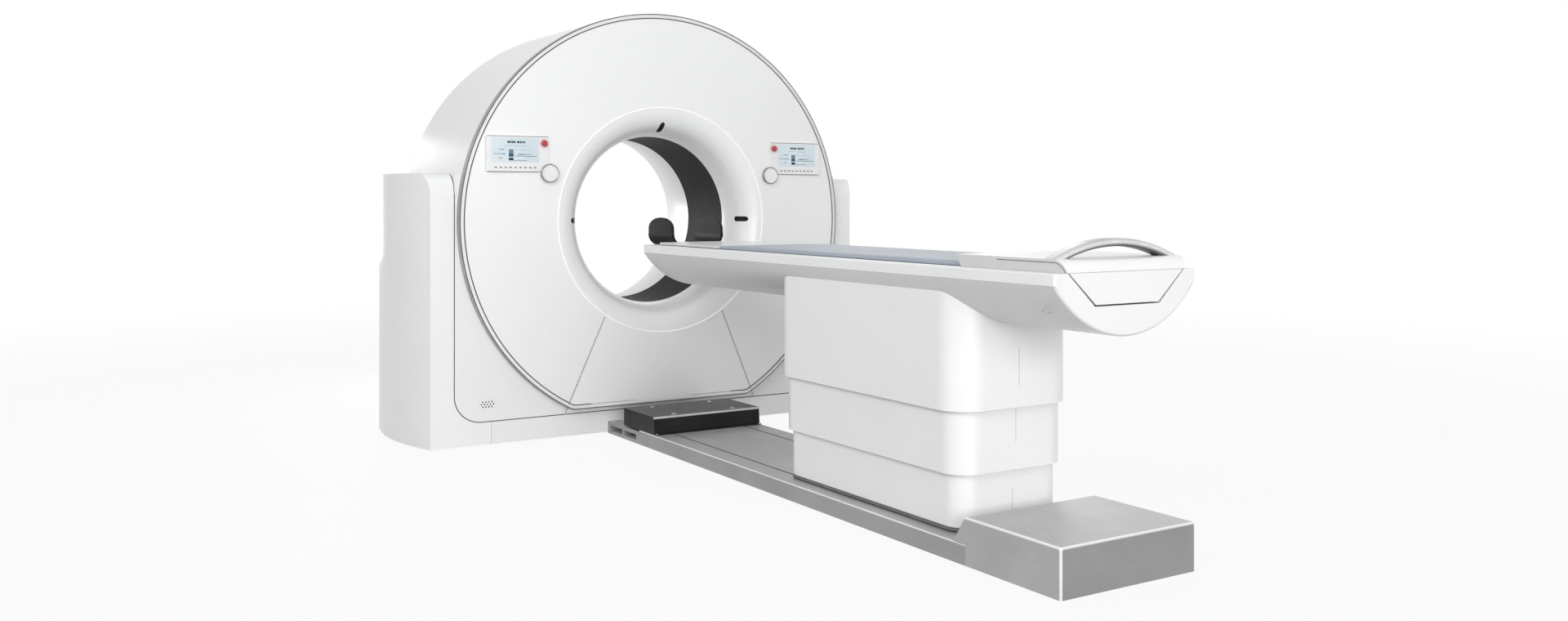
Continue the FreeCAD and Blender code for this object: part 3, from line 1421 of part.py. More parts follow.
def trough_path(half, low, round_radius, top, depth):
    """Edges of a U with ribs on its upright walls, and the top ends of the two walls."""
    spring = low + round_radius
    pitch = (top - spring) / SIZES["holder_ribs"]
    right = [Vector(half - level, 0, spring + pitch * (index + share))
             for index in range(SIZES["holder_ribs"])
             for share, level in ((0.0, 0), (0.5, 0), (0.5, depth), (1.0, depth))]
    left = [Vector(-point.x, 0, point.z) for point in right]
    flat, bulge = half - round_radius, round_radius * (1 - math.sqrt(0.5))
    edges = [Part.LineSegment(Vector(-flat, 0, low), Vector(flat, 0, low)).toShape()]
    for side, _ in SIDES:
        edges.append(Part.Arc(Vector(side * flat, 0, low), Vector(side * (half - bulge), 0, low + bulge),
                              Vector(side * half, 0, spring)).toShape())
    return edges + Part.makePolygon(left).Edges + Part.makePolygon(right).Edges, left[-1], right[-1]


def arched_profile(foot, head, under, top, arch, side):
    """Block whose side view is a rectangle with a half ellipse on top."""
    middle, spring = (foot + head) / 2, top - arch
    ellipse = Part.Ellipse(Vector(-side, head, spring), Vector(-side, middle, top),
                           Vector(-side, middle, spring))
    rim = Part.ArcOfEllipse(ellipse, 0, math.pi).toShape()
    corners = [Vector(-side, y, z) for y, z in ((foot, spring), (foot, under), (head, under), (head, spring))]
    outline = Part.Wire(Part.sortEdges([rim] + Part.makePolygon(corners).Edges)[0])
    return Part.Face(outline).extrude(Vector(2 * side, 0, 0))


def head_holder():
    """Ribbed U-shaped trough for the head, with a tongue that plugs in under the cradle."""
    half, wall, depth = S.holder_half.value, S.holder_wall.value, S.rib_depth.value
    low, round_radius, past = HOLDER_LOW.value, S.holder_corner.value, S.cut_past.value
    foot, head, top = HOLDER_FOOT.value, HOLDER_HEAD.value, low + S.holder_height.value
    outer, *outer_tops = trough_path(half, low, round_radius, top, depth)
    inner, *inner_tops = trough_path(half - wall, low + wall, round_radius - wall, top, -depth)
    rims = [Part.LineSegment(a, b).toShape() for a, b in zip(outer_tops, inner_tops)]
    trough = Part.Face(Part.Wire(Part.sortEdges(outer + inner + rims)[0])).extrude(Vector(0, head - foot, 0))
    trough.translate(Vector(0, foot, 0))
    feature = doc.addObject("Part::Feature", "holder_trough")
    profile = arched_profile(foot, head, low - past, top, S.holder_arch.value, half + past)
    feature.Shape = trough.common(profile)
    tongue = box("holder_tongue", (-S.tongue_half, S.tongue_half),
                 (-S.table_head - S.tongue_tail, HOLDER_FOOT + S.tongue_nose),
                 (HULL_TOP - S.tongue_thick, HULL_TOP))
    node(fuse("holder_all", feature, tongue), "head_holder")


front_disc()
bore_lining()
drum()
frame_covers()
fixed_frame()
rotor()
control_panels()
rail()
carriage()
lift()
hull()
cradle()
mattress()
head_holder()
doc.recompute()

problems = []
for item in doc.Objects:
    if "Invalid" in item.State or "Error" in item.State:
        problems.append(f"{item.Name}: {item.State}")
for item in nodes:
    if item.Shape.isNull() or not item.Shape.isValid() or item.Shape.Volume <= 0:
        problems.append(f"{item.Label}: bad shape")
if problems:
    raise RuntimeError("; ".join(problems))

os.makedirs("parts", exist_ok=True)
for item in nodes:
    item.Shape.exportStep(f"parts/{item.Label}.step")
print(len(nodes), "sub-parts written")
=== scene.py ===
import json
import math

import bmesh
import bpy
from mathutils import Matrix, Vector


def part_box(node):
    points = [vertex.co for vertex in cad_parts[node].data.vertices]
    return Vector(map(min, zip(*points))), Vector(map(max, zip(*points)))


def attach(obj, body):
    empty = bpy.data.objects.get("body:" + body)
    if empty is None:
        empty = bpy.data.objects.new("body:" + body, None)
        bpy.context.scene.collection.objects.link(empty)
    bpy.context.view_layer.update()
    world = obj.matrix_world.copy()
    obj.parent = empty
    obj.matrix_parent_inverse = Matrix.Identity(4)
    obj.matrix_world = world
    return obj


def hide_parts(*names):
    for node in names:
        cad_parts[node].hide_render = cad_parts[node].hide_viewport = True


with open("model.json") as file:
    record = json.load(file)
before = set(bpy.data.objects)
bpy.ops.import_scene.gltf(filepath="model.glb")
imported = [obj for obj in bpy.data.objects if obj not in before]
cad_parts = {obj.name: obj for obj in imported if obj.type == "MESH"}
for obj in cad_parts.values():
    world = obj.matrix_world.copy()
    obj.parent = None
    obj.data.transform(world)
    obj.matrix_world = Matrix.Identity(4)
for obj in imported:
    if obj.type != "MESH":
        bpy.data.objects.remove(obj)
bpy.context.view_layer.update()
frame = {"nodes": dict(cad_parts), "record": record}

nodes = frame["nodes"]
ISO = 1.016


# ---------------------------------------------------------------- materials

def new_material(name):
    """A node material with its shader and a coordinate node in the object's own space."""
    mat = bpy.data.materials.new(name)
    mat.use_nodes = True
    tree = mat.node_tree
    shader = tree.nodes["Principled BSDF"]
    coords = tree.nodes.new("ShaderNodeTexCoord")
    return mat, tree, shader, coords


def mapped(tree, coords, stretch):
    mapping = tree.nodes.new("ShaderNodeMapping")
    mapping.inputs["Scale"].default_value = stretch
    tree.links.new(coords.outputs["Object"], mapping.inputs["Vector"])
    return mapping.outputs["Vector"]


def noise(tree, vector, scale, detail=3.0, rough=0.55):
    node = tree.nodes.new("ShaderNodeTexNoise")
    node.inputs["Scale"].default_value = scale
    node.inputs["Detail"].default_value = detail
    node.inputs["Roughness"].default_value = rough
    tree.links.new(vector, node.inputs["Vector"])
    return node.outputs["Fac"]


def ramp(tree, factor, stops):
    """A colour ramp from (position, colour) stops."""
    node = tree.nodes.new("ShaderNodeValToRGB")
    elements = node.color_ramp.elements
    while len(elements) < len(stops):
        elements.new(0.5)
    for element, (position, colour) in zip(elements, stops):
        element.position = position
        element.color = (*colour, 1.0)
    tree.links.new(factor, node.inputs["Fac"])
    return node.outputs["Color"]


def map_range(tree, value, source, target, kind="LINEAR"):
    node = tree.nodes.new("ShaderNodeMapRange")
    node.interpolation_type = kind
    for name, end in zip(("From Min", "From Max", "To Min", "To Max"), (*source, *target)):
        node.inputs[name].default_value = end
    tree.links.new(value, node.inputs["Value"])
    return node.outputs["Result"]


def spread(tree, factor, low, high):
    """Maps a noise factor to a range."""
    return map_range(tree, factor, (0.3, 0.7), (low, high))


def bump(tree, height, strength, distance, shader, before=None):
    node = tree.nodes.new("ShaderNodeBump")
    node.inputs["Strength"].default_value = strength
    node.inputs["Distance"].default_value = distance
    tree.links.new(height, node.inputs["Height"])
    if before is not None:
        tree.links.new(before.outputs["Normal"], node.inputs["Normal"])
    tree.links.new(node.outputs["Normal"], shader.inputs["Normal"])
    return node


def vector_math(tree, operation, first, second=None):
    """A vector node on a socket and either a socket, a constant or nothing."""
    node = tree.nodes.new("ShaderNodeVectorMath")
    node.operation = operation
    tree.links.new(first, node.inputs[0])
    if isinstance(second, tuple):
        node.inputs[1].default_value = second
    elif second is not None:
        tree.links.new(second, node.inputs[1])
    return node.outputs["Value" if operation in ("DOT_PRODUCT", "LENGTH") else "Vector"]


def plain_math(tree, operation, first, second, clamp=False):
    node = tree.nodes.new("ShaderNodeMath")
    node.operation = operation
    node.use_clamp = clamp
    for socket, value in zip(node.inputs, (first, second)):
        if isinstance(value, float):
            socket.default_value = value
        else:
            tree.links.new(value, socket)
    return node.outputs["Value"]


def scaled(tree, colour, factor):
    """A colour times the value of a socket."""
    node = tree.nodes.new("ShaderNodeVectorMath")
    node.operation = "SCALE"
    tree.links.new(colour, node.inputs[0])
    tree.links.new(factor, node.inputs["Scale"])
    return node.outputs["Vector"]


def painted_facing_light(tree, coords, colour, faces, edge):
    """Paints light and shade by the axis that a face looks along, and paints highlights on the rounded
    edges.
    """
    normal = coords.outputs["Normal"]
    square = vector_math(tree, "MULTIPLY", normal, normal)
    tone = vector_math(tree, "DOT_PRODUCT", square, faces)
    # The edge term adds a painted highlight where the normal leans between axes, on rounded edges.
    if edge:
        size = vector_math(tree, "ABSOLUTE", normal)
        total = vector_math(tree, "DOT_PRODUCT", size, (1.0, 1.0, 1.0))
        painted_edge_highlight = plain_math(tree, "SUBTRACT", plain_math(tree, "POWER", total, 2.0), 1.0, clamp=True)
        tone = plain_math(tree, "ADD", tone, plain_math(tree, "MULTIPLY", painted_edge_highlight, float(edge)))
    return scaled(tree, colour, tone)


def underside_shade(tree, coords, colour, dark):
    """Paints shade on what looks down, in the object's own space."""
    parts = tree.nodes.new("ShaderNodeSeparateXYZ")
    tree.links.new(coords.outputs["Normal"], parts.inputs["Vector"])
    fade = map_range(tree, parts.outputs["Z"], (-0.6, 0.0), (dark, 1.0), "SMOOTHSTEP")
    return scaled(tree, colour, fade)


def surface(name, dark, light, patch=0.4, rough=(0.35, 0.42), grain=900.0, depth=0.00003,
            strength=0.25, metal=0.0, coat=0.0, coat_rough=0.1, stretch=(1, 1, 1), wave=None,
            specular=0.5, faces=None, edge=0.0, under=None):
    """
    A surface with patches of slightly different colour, uneven gloss and a fine grain.
    Faces paints shade by the axis that a face looks along, edge paints a highlight on rounded edges,
    under paints shade on what looks down, wave is (size, height).
    """
    mat, tree, shader, coords = new_material(name)
    plain = mapped(tree, coords, (1, 1, 1))
    along = mapped(tree, coords, stretch)
    tint = noise(tree, plain, 1.0 / patch, 4.0)
    colour = ramp(tree, tint, [(0.32, dark), (0.68, light)])
    # Painted light: faces and edge shade the colour by facing and light the rounded edges, under shades
    # downward faces.
    if faces is not None:
        colour = painted_facing_light(tree, coords, colour, faces, edge)
    if under is not None:
        colour = underside_shade(tree, coords, colour, under)
    tree.links.new(colour, shader.inputs["Base Color"])
    gloss = spread(tree, noise(tree, along, grain * 0.2, 4.0), *rough)
    tree.links.new(gloss, shader.inputs["Roughness"])
    first = bump(tree, noise(tree, along, grain, 2.0), strength, depth, shader)
    if wave is not None:
        size, height = wave
        bump(tree, noise(tree, plain, 1.0 / size, 1.0), 0.4, height, shader, first)
    shader.inputs["Metallic"].default_value = metal
    shader.inputs["Coat Weight"].default_value = coat
    shader.inputs["Coat Roughness"].default_value = coat_rough
    shader.inputs["Specular IOR Level"].default_value = specular
    return mat


def grey(level, tint=(1.0, 1.0, 1.0)):
    return tuple(level * part for part in tint)


PAINT = dict(patch=0.55, rough=(0.30, 0.38), grain=650.0, depth=0.00004, strength=0.12, coat=0.25,
             coat_rough=0.18, wave=(0.12, 0.0004))
cover_white = surface("cover_white", grey(0.825), grey(0.855), **PAINT)
frame_white = surface("frame_white", grey(0.80), grey(0.835), **PAINT)
# The table white is painted darker on faces that look down: painted shade.
table_white = surface("table_white", grey(0.83), grey(0.86), under=0.80, **PAINT)
# Painted light: faces that look along Y are 2.4 times lighter than the rest of the trim.
trim_grey = surface("trim_grey", grey(0.30), grey(0.36), patch=0.2, rough=(0.38, 0.46),
                    faces=(1.0, 2.4, 1.0))
liner_dark = surface("liner_dark", grey(0.022), grey(0.030), patch=0.15, rough=(0.50, 0.58),
                     grain=1400.0, depth=0.00004, strength=0.35, specular=0.04)
laser_black = surface("laser_black", grey(0.008), grey(0.014), patch=0.05, rough=(0.20, 0.28),
                      specular=0.25)
grille_grey = surface("grille_grey", grey(0.78), grey(0.82), patch=0.02, rough=(0.5, 0.6))
frame_steel = surface("frame_steel", grey(0.34), grey(0.42), patch=0.3, rough=(0.4, 0.5),
                      grain=500.0, depth=0.0001, strength=0.3)
bearing_steel = surface("bearing_steel", grey(0.55), grey(0.62), patch=0.1, rough=(0.22, 0.32),
                        metal=1.0, stretch=(1, 12, 1))
motor_iron = surface("motor_iron", grey(0.10), grey(0.15), patch=0.08, rough=(0.5, 0.65),
                     grain=300.0, depth=0.0003, strength=0.5)
slip_brass = surface("slip_brass", (0.58, 0.40, 0.16), (0.68, 0.50, 0.23), patch=0.1,
                     rough=(0.2, 0.3), metal=1.0, stretch=(1, 20, 1))
brush_black = surface("brush_black", grey(0.03), grey(0.05), patch=0.05, rough=(0.5, 0.6))
tube_steel = surface("tube_steel", grey(0.58), grey(0.66), patch=0.1, rough=(0.35, 0.45), metal=0.6)
weight_iron = surface("weight_iron", grey(0.15), grey(0.22), patch=0.06, rough=(0.6, 0.75),
                      grain=250.0, depth=0.0005, strength=0.6)
detector_alu = surface("detector_alu", grey(0.48), grey(0.56), patch=0.1, rough=(0.35, 0.45), metal=0.9)
cabinet_alu = surface("cabinet_alu", grey(0.36), grey(0.42), patch=0.2, rough=(0.4, 0.5), metal=0.7)
panel_silver = surface("panel_silver", grey(0.76, (1.0, 1.0, 1.01)), grey(0.82), patch=0.1,
                       rough=(0.28, 0.34), metal=0.15, coat=0.3, grain=1500.0, depth=0.00002)
key_grey = surface("key_grey", grey(0.26), grey(0.32), patch=0.02, rough=(0.5, 0.6))
stop_red = surface("stop_red", (0.50, 0.015, 0.025), (0.60, 0.025, 0.035), patch=0.02,
                   rough=(0.22, 0.30), coat=0.5)
dial_white = surface("dial_white", grey(0.78), grey(0.84), patch=0.03, rough=(0.25, 0.33), coat=0.4)
# Painted shade on the rail's sides and ends, its top left light, and painted highlights on its rounded
# edges.
rail_alu = surface("rail_alu", grey(0.46), grey(0.54), patch=0.25, rough=(0.40, 0.52), metal=0.5,
                   grain=1200.0, depth=0.00006, strength=0.3, stretch=(1, 0.02, 1),
                   faces=(0.66, 0.70, 1.0), edge=0.9)
# Painted shade on the block's sides and a deeper painted shade on its ends, with painted highlights on
# its rounded edges.
block_alu = surface("block_alu", grey(0.48), grey(0.55), patch=0.2, rough=(0.38, 0.50), metal=0.5,
                    grain=1200.0, depth=0.00006, strength=0.3, stretch=(0.02, 1, 1),
                    faces=(0.80, 0.55, 1.0), edge=0.9)
guide_steel = surface("guide_steel", grey(0.020), grey(0.032), patch=0.1, rough=(0.5, 0.6),
                      specular=0.3, stretch=(1, 0.05, 1))
smoked = surface("smoked_cover", grey(0.014), grey(0.022), patch=0.1, rough=(0.24, 0.32),
                 specular=0.09, grain=900.0, depth=0.00002, wave=(0.08, 0.0005))
# A light grey strip standing in for the highlight on the smoked lid's front edge: painted highlight.
highlight_strip_grey = surface("highlight_strip_grey", grey(0.50), grey(0.58), patch=0.04, rough=(0.2, 0.3), coat=0.5)
carriage_steel = surface("carriage_steel", grey(0.12), grey(0.17), patch=0.1, rough=(0.45, 0.55))
lift_steel = surface("lift_steel", grey(0.52), grey(0.6), patch=0.1, rough=(0.18, 0.28), metal=1.0,
                     stretch=(1, 1, 12))
# Painted light on the handle: faces along Y lightened as a painted highlight, its top darkened and its
# underside deeper still as painted shade.
handle_silver = surface("handle_silver", grey(0.50), grey(0.56), patch=0.06, rough=(0.26, 0.34),
                        metal=0.5, grain=1500.0, depth=0.00003, faces=(0.9, 1.35, 0.72), under=0.35)
carbon_white = surface("carbon_white", grey(0.78), grey(0.82), patch=0.3, rough=(0.35, 0.42), coat=0.2)
seam_dark = surface("seam_dark", grey(0.09), grey(0.13), patch=0.1, rough=(0.6, 0.7), specular=0.2)
seam_pale = surface("seam_pale", grey(0.42), grey(0.50), patch=0.1, rough=(0.6, 0.7))
screw_steel = surface("screw_steel", grey(0.55), grey(0.66), patch=0.01, rough=(0.25, 0.35), metal=1.0)


def ring_material():
    """Translucent white strip, faintly lit from inside."""
    mat, tree, shader, coords = new_material("ring_white")
    vector = mapped(tree, coords, (1, 1, 1))
    colour = ramp(tree, noise(tree, vector, 6.0), [(0.3, grey(0.88)), (0.7, grey(0.92))])
    tree.links.new(colour, shader.inputs["Base Color"])
    tree.links.new(colour, shader.inputs["Emission Color"])
    tree.links.new(spread(tree, noise(tree, vector, 90.0), 0.25, 0.35), shader.inputs["Roughness"])
    shader.inputs["Emission Strength"].default_value = 0.12
    bump(tree, noise(tree, vector, 400.0), 0.1, 0.00003, shader)
    return mat


def carbon_material():
    """Black moulded composite with a faint weave under a satin face."""
    mat, tree, shader, coords = new_material("carbon_black")
    vector = mapped(tree, coords, (1, 1, 1))
    weave = tree.nodes.new("ShaderNodeTexChecker")
    weave.inputs["Scale"].default_value = 260.0
    weave.inputs["Color1"].default_value = (0.010, 0.010, 0.011, 1)
    weave.inputs["Color2"].default_value = (0.020, 0.020, 0.022, 1)
    tree.links.new(vector, weave.inputs["Vector"])
    tree.links.new(weave.outputs["Color"], shader.inputs["Base Color"])
    tree.links.new(spread(tree, noise(tree, vector, 120.0), 0.45, 0.55), shader.inputs["Roughness"])
    shader.inputs["Specular IOR Level"].default_value = 0.07
    bump(tree, noise(tree, vector, 700.0), 0.3, 0.00005, shader)
    return mat


def pad_material():
    """Coated fabric: a fine weave pressed through a matt blue-grey skin; its colour carries painted shade
    by the way each face looks.
    """
    mat, tree, shader, coords = new_material("pad_grey")
    plain = mapped(tree, coords, (1, 1, 1))
    tint = noise(tree, plain, 3.0, 5.0)
    colours = [(0.3, (0.375, 0.415, 0.480)), (0.7, (0.425, 0.465, 0.530))]
    # Painted shade: the ends and top a little darker than the sides.
    colour = painted_facing_light(tree, coords, ramp(tree, tint, colours), (1.04, 0.80, 0.76), 0.0)
    tree.links.new(colour, shader.inputs["Base Color"])
    tree.links.new(spread(tree, noise(tree, plain, 60.0), 0.50, 0.62), shader.inputs["Roughness"])
    heights = []
    for axis in ("X", "Y"):
        wave = tree.nodes.new("ShaderNodeTexWave")
        wave.wave_type = "BANDS"
        wave.bands_direction = axis
        wave.inputs["Scale"].default_value = 130.0
        wave.inputs["Distortion"].default_value = 0.6
        wave.inputs["Detail"].default_value = 1.0
        tree.links.new(plain, wave.inputs["Vector"])
        heights.append(wave.outputs["Fac"])
    crossing = plain_math(tree, "MULTIPLY", *heights)
    weave = bump(tree, crossing, 0.25, 0.0002, shader)
    bump(tree, noise(tree, plain, 14.0, 3.0), 0.35, 0.0012, shader, weave)
    shader.inputs["Sheen Weight"].default_value = 0.15
    shader.inputs["Sheen Roughness"].default_value = 0.5
    return mat


def screen_material():
    """Display glass over a plain blue-grey ground with a soft fall-off."""
    mat, tree, shader, coords = new_material("screen_glass")
    vector = mapped(tree, coords, (1, 1, 1))
    colours = [(0.3, (0.58, 0.67, 0.71)), (0.7, (0.66, 0.75, 0.79))]
    ground = ramp(tree, noise(tree, vector, 5.0, 1.0), colours)
    tree.links.new(ground, shader.inputs["Base Color"])
    tree.links.new(ground, shader.inputs["Emission Color"])
    tree.links.new(spread(tree, noise(tree, vector, 40.0), 0.06, 0.12), shader.inputs["Roughness"])
    shader.inputs["Emission Strength"].default_value = 0.08
    shader.inputs["Coat Weight"].default_value = 0.3
    return mat


ring_white = ring_material()
carbon_black = carbon_material()
pad_grey = pad_material()
screen_glass = screen_material()

SLOT_MATERIALS = {
    "cover_white": cover_white, "frame_white": frame_white, "table_white": table_white,
    "trim_grey": trim_grey, "ring_white": ring_white, "liner_dark": liner_dark,
    "laser_black": laser_black, "grille_grey": grille_grey, "frame_steel": frame_steel,
    "bearing_steel": bearing_steel, "motor_iron": motor_iron, "slip_brass": slip_brass,
    "brush_black": brush_black, "tube_steel": tube_steel, "weight_iron": weight_iron,
    "detector_alu": detector_alu, "cabinet_alu": cabinet_alu, "panel_silver": panel_silver,
    "screen_glass": screen_glass, "key_grey": key_grey, "stop_red": stop_red,
    "dial_white": dial_white, "rail_alu": rail_alu, "block_alu": block_alu,
    "guide_steel": guide_steel, "smoked_cover": smoked, "carriage_steel": carriage_steel,
    "lift_steel": lift_steel, "handle_silver": handle_silver, "pad_grey": pad_grey,
    "carbon_black": carbon_black, "carbon_white": carbon_white,
}
for entry in frame["record"]["subparts"]:
    cad_node = nodes[entry["node"]]
    cad_node.data.materials.clear()
    cad_node.data.materials.append(SLOT_MATERIALS[entry["material_slot"]])


# ---------------------------------------------------------------- mesh helpers

def piece(name, mesh, mat, body, smooth=True):
    obj = bpy.data.objects.new(name, mesh)
    bpy.context.scene.collection.objects.link(obj)
    mesh.materials.append(mat)
    for face in mesh.polygons:
        face.use_smooth = smooth
    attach(obj, body)
    return obj


def mesh_of(name, bm):
    bmesh.ops.recalc_face_normals(bm, faces=bm.faces)
    mesh = bpy.data.meshes.new(name)
    bm.to_mesh(mesh)
    bm.free()
    return mesh


def add_block(bm, low, high):
    """A rectangular block between two corners."""
    size = [h - l for l, h in zip(low, high)]
    middle = [(h + l) / 2 for l, h in zip(low, high)]
    matrix = Matrix.Translation(middle) @ Matrix.Diagonal((*size, 1))
    return bmesh.ops.create_cube(bm, size=1.0, matrix=matrix)["verts"]


def standing(place, axis):
    """The matrix that puts the local origin on a place and local Z along an axis."""
    turn = Vector((0, 0, 1)).rotation_difference(Vector(axis)).to_matrix().to_4x4()
    return Matrix.Translation(place) @ turn


def circle(bm, place, radius, height, count):
    """Vertices of a circle round local Z, at a height."""
    angles = [2 * math.pi * i / count for i in range(count)]
    return [bm.verts.new(place @ Vector((radius * math.cos(a), radius * math.sin(a), height)))
            for a in angles]


def bridge(bm, rings):
    """Faces between each two neighbours in a row of rings with equally many vertices."""
    for lower, upper in zip(rings, rings[1:]):
        for i in range(len(lower)):
            j = (i + 1) % len(lower)
            bm.faces.new((lower[i], lower[j], upper[j], upper[i]))


def cap(bm, rings):
    """Closes a row of rings at both ends."""
    bm.faces.new(rings[0])
    bm.faces.new(rings[-1][::-1])


def add_disc(bm, centre, axis, radius, depth, segments):
    """A short cylinder with its middle at the centre."""
    bmesh.ops.create_cone(bm, cap_ends=True, segments=segments, radius1=radius, radius2=radius,
                          depth=depth, matrix=standing(centre, axis))


def lathe(name, profile, centre, axis, segments):
    """Revolves (radius, height) points about an axis through the centre."""
    bm = bmesh.new()
    place = standing(centre, axis)
    bridge(bm, [circle(bm, place, radius, height, segments) for radius, height in profile])
    return mesh_of(name, bm)


# ---------------------------------------------------------------- camera and light

def make_camera():
    data = bpy.data.cameras.new("camera")
    camera = bpy.data.objects.new("camera", data)
    bpy.context.scene.collection.objects.link(camera)
    data.sensor_width = 36.0
    data.lens = 30.24
    data.shift_x = -0.0363
    data.shift_y = -0.0736
    data.clip_start = 0.05
    data.clip_end = 100.0
    camera.location = (-2.804, -6.197, 1.129)
    yaw, pitch = math.radians(33.33), math.radians(0.066)
    look = Vector((math.sin(yaw) * math.cos(pitch), math.cos(yaw) * math.cos(pitch), math.sin(pitch)))
    camera.rotation_euler = look.to_track_quat("-Z", "Y").to_euler()
    bpy.context.scene.camera = camera


def lamp(name, place, target, size, power):
    data = bpy.data.lights.new(name, "AREA")
    data.shape = "RECTANGLE"
    data.size, data.size_y = size
    data.energy = power
    obj = bpy.data.objects.new(name, data)
    bpy.context.scene.collection.objects.link(obj)
    obj.location = place
    obj.rotation_euler = (Vector(target) - Vector(place)).to_track_quat("-Z", "Y").to_euler()


def white_to_camera(tree, seen, lit, output_socket):
    """Shows plain white to the camera, to mirrors and through glass, and a dimmer tone as light."""
    path = tree.nodes.new("ShaderNodeLightPath")
    seen_by = path.outputs["Is Camera Ray"]
    for ray in ("Is Glossy Ray", "Is Transmission Ray"):
        seen_by = plain_math(tree, "MAXIMUM", seen_by, path.outputs[ray])
    mix = tree.nodes.new("ShaderNodeMixShader")
    tree.links.new(seen_by, mix.inputs["Fac"])
    tree.links.new(lit.outputs[0], mix.inputs[1])
    tree.links.new(seen.outputs[0], mix.inputs[2])
    tree.links.new(mix.outputs["Shader"], output_socket)


def make_stage():
    """A pale floor and a plain white surround."""
    world = bpy.data.worlds.new("surround")
    bpy.context.scene.world = world
    world.use_nodes = True
    tree = world.node_tree
    lit = tree.nodes["Background"]
    lit.inputs["Color"].default_value = (0.96, 0.98, 1.0, 1)
    lit.inputs["Strength"].default_value = 0.42
    seen = tree.nodes.new("ShaderNodeBackground")
    seen.inputs["Color"].default_value = (1, 1, 1, 1)
    seen.inputs["Strength"].default_value = 1.0
    white_to_camera(tree, seen, lit, tree.nodes["World Output"].inputs["Surface"])

    bm = bmesh.new()
    bmesh.ops.create_grid(bm, x_segments=1, y_segments=1, size=30.0)
    mesh = mesh_of("floor", bm)
    floor = bpy.data.objects.new("floor", mesh)
    bpy.context.scene.collection.objects.link(floor)
    floor.location = (0, 0, -0.0005)
    mat, tree, shader, coords = new_material("floor_white")
    vector = mapped(tree, coords, (1, 1, 1))
    tree.links.new(ramp(tree, noise(tree, vector, 1.5), [(0.3, grey(0.56)), (0.7, grey(0.60))]),
                   shader.inputs["Base Color"])
    tree.links.new(spread(tree, noise(tree, vector, 30.0), 0.6, 0.7), shader.inputs["Roughness"])
    glow = tree.nodes.new("ShaderNodeEmission")
    glow.inputs["Color"].default_value = (1, 1, 1, 1)
    glow.inputs["Strength"].default_value = 1.0
    pale = tree.nodes.new("ShaderNodeMixShader")
    fade = map_range(tree, vector_math(tree, "LENGTH", vector), (4.0, 8.0), (0.91, 1.0))
    tree.links.new(fade, pale.inputs["Fac"])
    tree.links.new(shader.outputs["BSDF"], pale.inputs[1])
    tree.links.new(glow.outputs["Emission"], pale.inputs[2])
    white_to_camera(tree, pale, shader, tree.nodes["Material Output"].inputs["Surface"])
    mesh.materials.append(mat)


make_camera()
make_stage()
lamp("key", (-5.5, -5.0, 4.5), (0.0, -0.8, 0.8), (4.0, 3.0), 185.0)
lamp("front", (-2.5, -14.0, 2.6), (0.0, -0.5, 1.0), (8.0, 4.0), 690.0)
lamp("top", (0.5, -1.2, 6.5), (0.0, -1.2, 0.0), (5.0, 5.0), 45.0)
lamp("back", (4.5, 5.0, 5.0), (0.0, 0.0, 0.8), (4.0, 4.0), 80.0)
lamp("rear_mouth", (-0.75, 2.5, 1.25), (0.40, 0.50, 1.05), (1.0, 1.0), 28.0)
bpy.context.scene.view_settings.view_transform = "Standard"


# ---------------------------------------------------------------- pieces

SIDES = ((-1, "left"), (1, "right"))
OUT = (0, -1, 0)        # out of the gantry's front, toward the viewer
PRINT = 0.00025         # a printed mark stands off its surface by this
DROP = 0.885            # axis of the bore down to the disc's flat foot
DISC_EDGE_FACE = -0.36235   # front of the rounded rim round the disc
FRAME_FACE = -0.320     # front of the panels between the towers
TOWER_EDGE = 1.01025    # middle of the joint between a tower and the front panel


def add_plate(bm, x, z, y, proud=PRINT):
    """A thin plate on a face that looks along -Y."""
    add_block(bm, (x[0], y - proud, z[0]), (x[1], y + proud, z[1]))


def box_skin(counts, place):
    """A closed skin of quads over a box of so many cells, each corner put where place says."""
    bm = bmesh.new()
    corners = {}

    def corner(key):
        if key not in corners:
            corners[key] = bm.verts.new(place(*key))
        return corners[key]

    for axis in range(3):
        first, second = [other for other in range(3) if other != axis]
        for layer in (0, counts[axis]):
            for i in range(counts[first]):
                for j in range(counts[second]):
                    quad = []
                    for step_i, step_j in ((0, 0), (1, 0), (1, 1), (0, 1)):
                        key = [0, 0, 0]
                        key[axis], key[first], key[second] = layer, i + step_i, j + step_j
                        quad.append(corner(tuple(key)))
                    bm.faces.new(quad)
    return bm


def even(low, high, step):
    """Evenly spaced values between two ends, about a step apart."""
    count = max(1, round(abs(high - low) / step))
    return [low + (high - low) * i / count for i in range(count + 1)]


def rounded_point(point, low, high, radius):
    """Draws a point of a block's skin in to a rounded edge of that radius."""
    inner = Vector([min(max(p, l + radius), h - radius) for p, l, h in zip(point, low, high)])
    off = Vector(point) - inner
    if off.length < 1e-9:
        return Vector(point)
    return inner + off.normalized() * radius


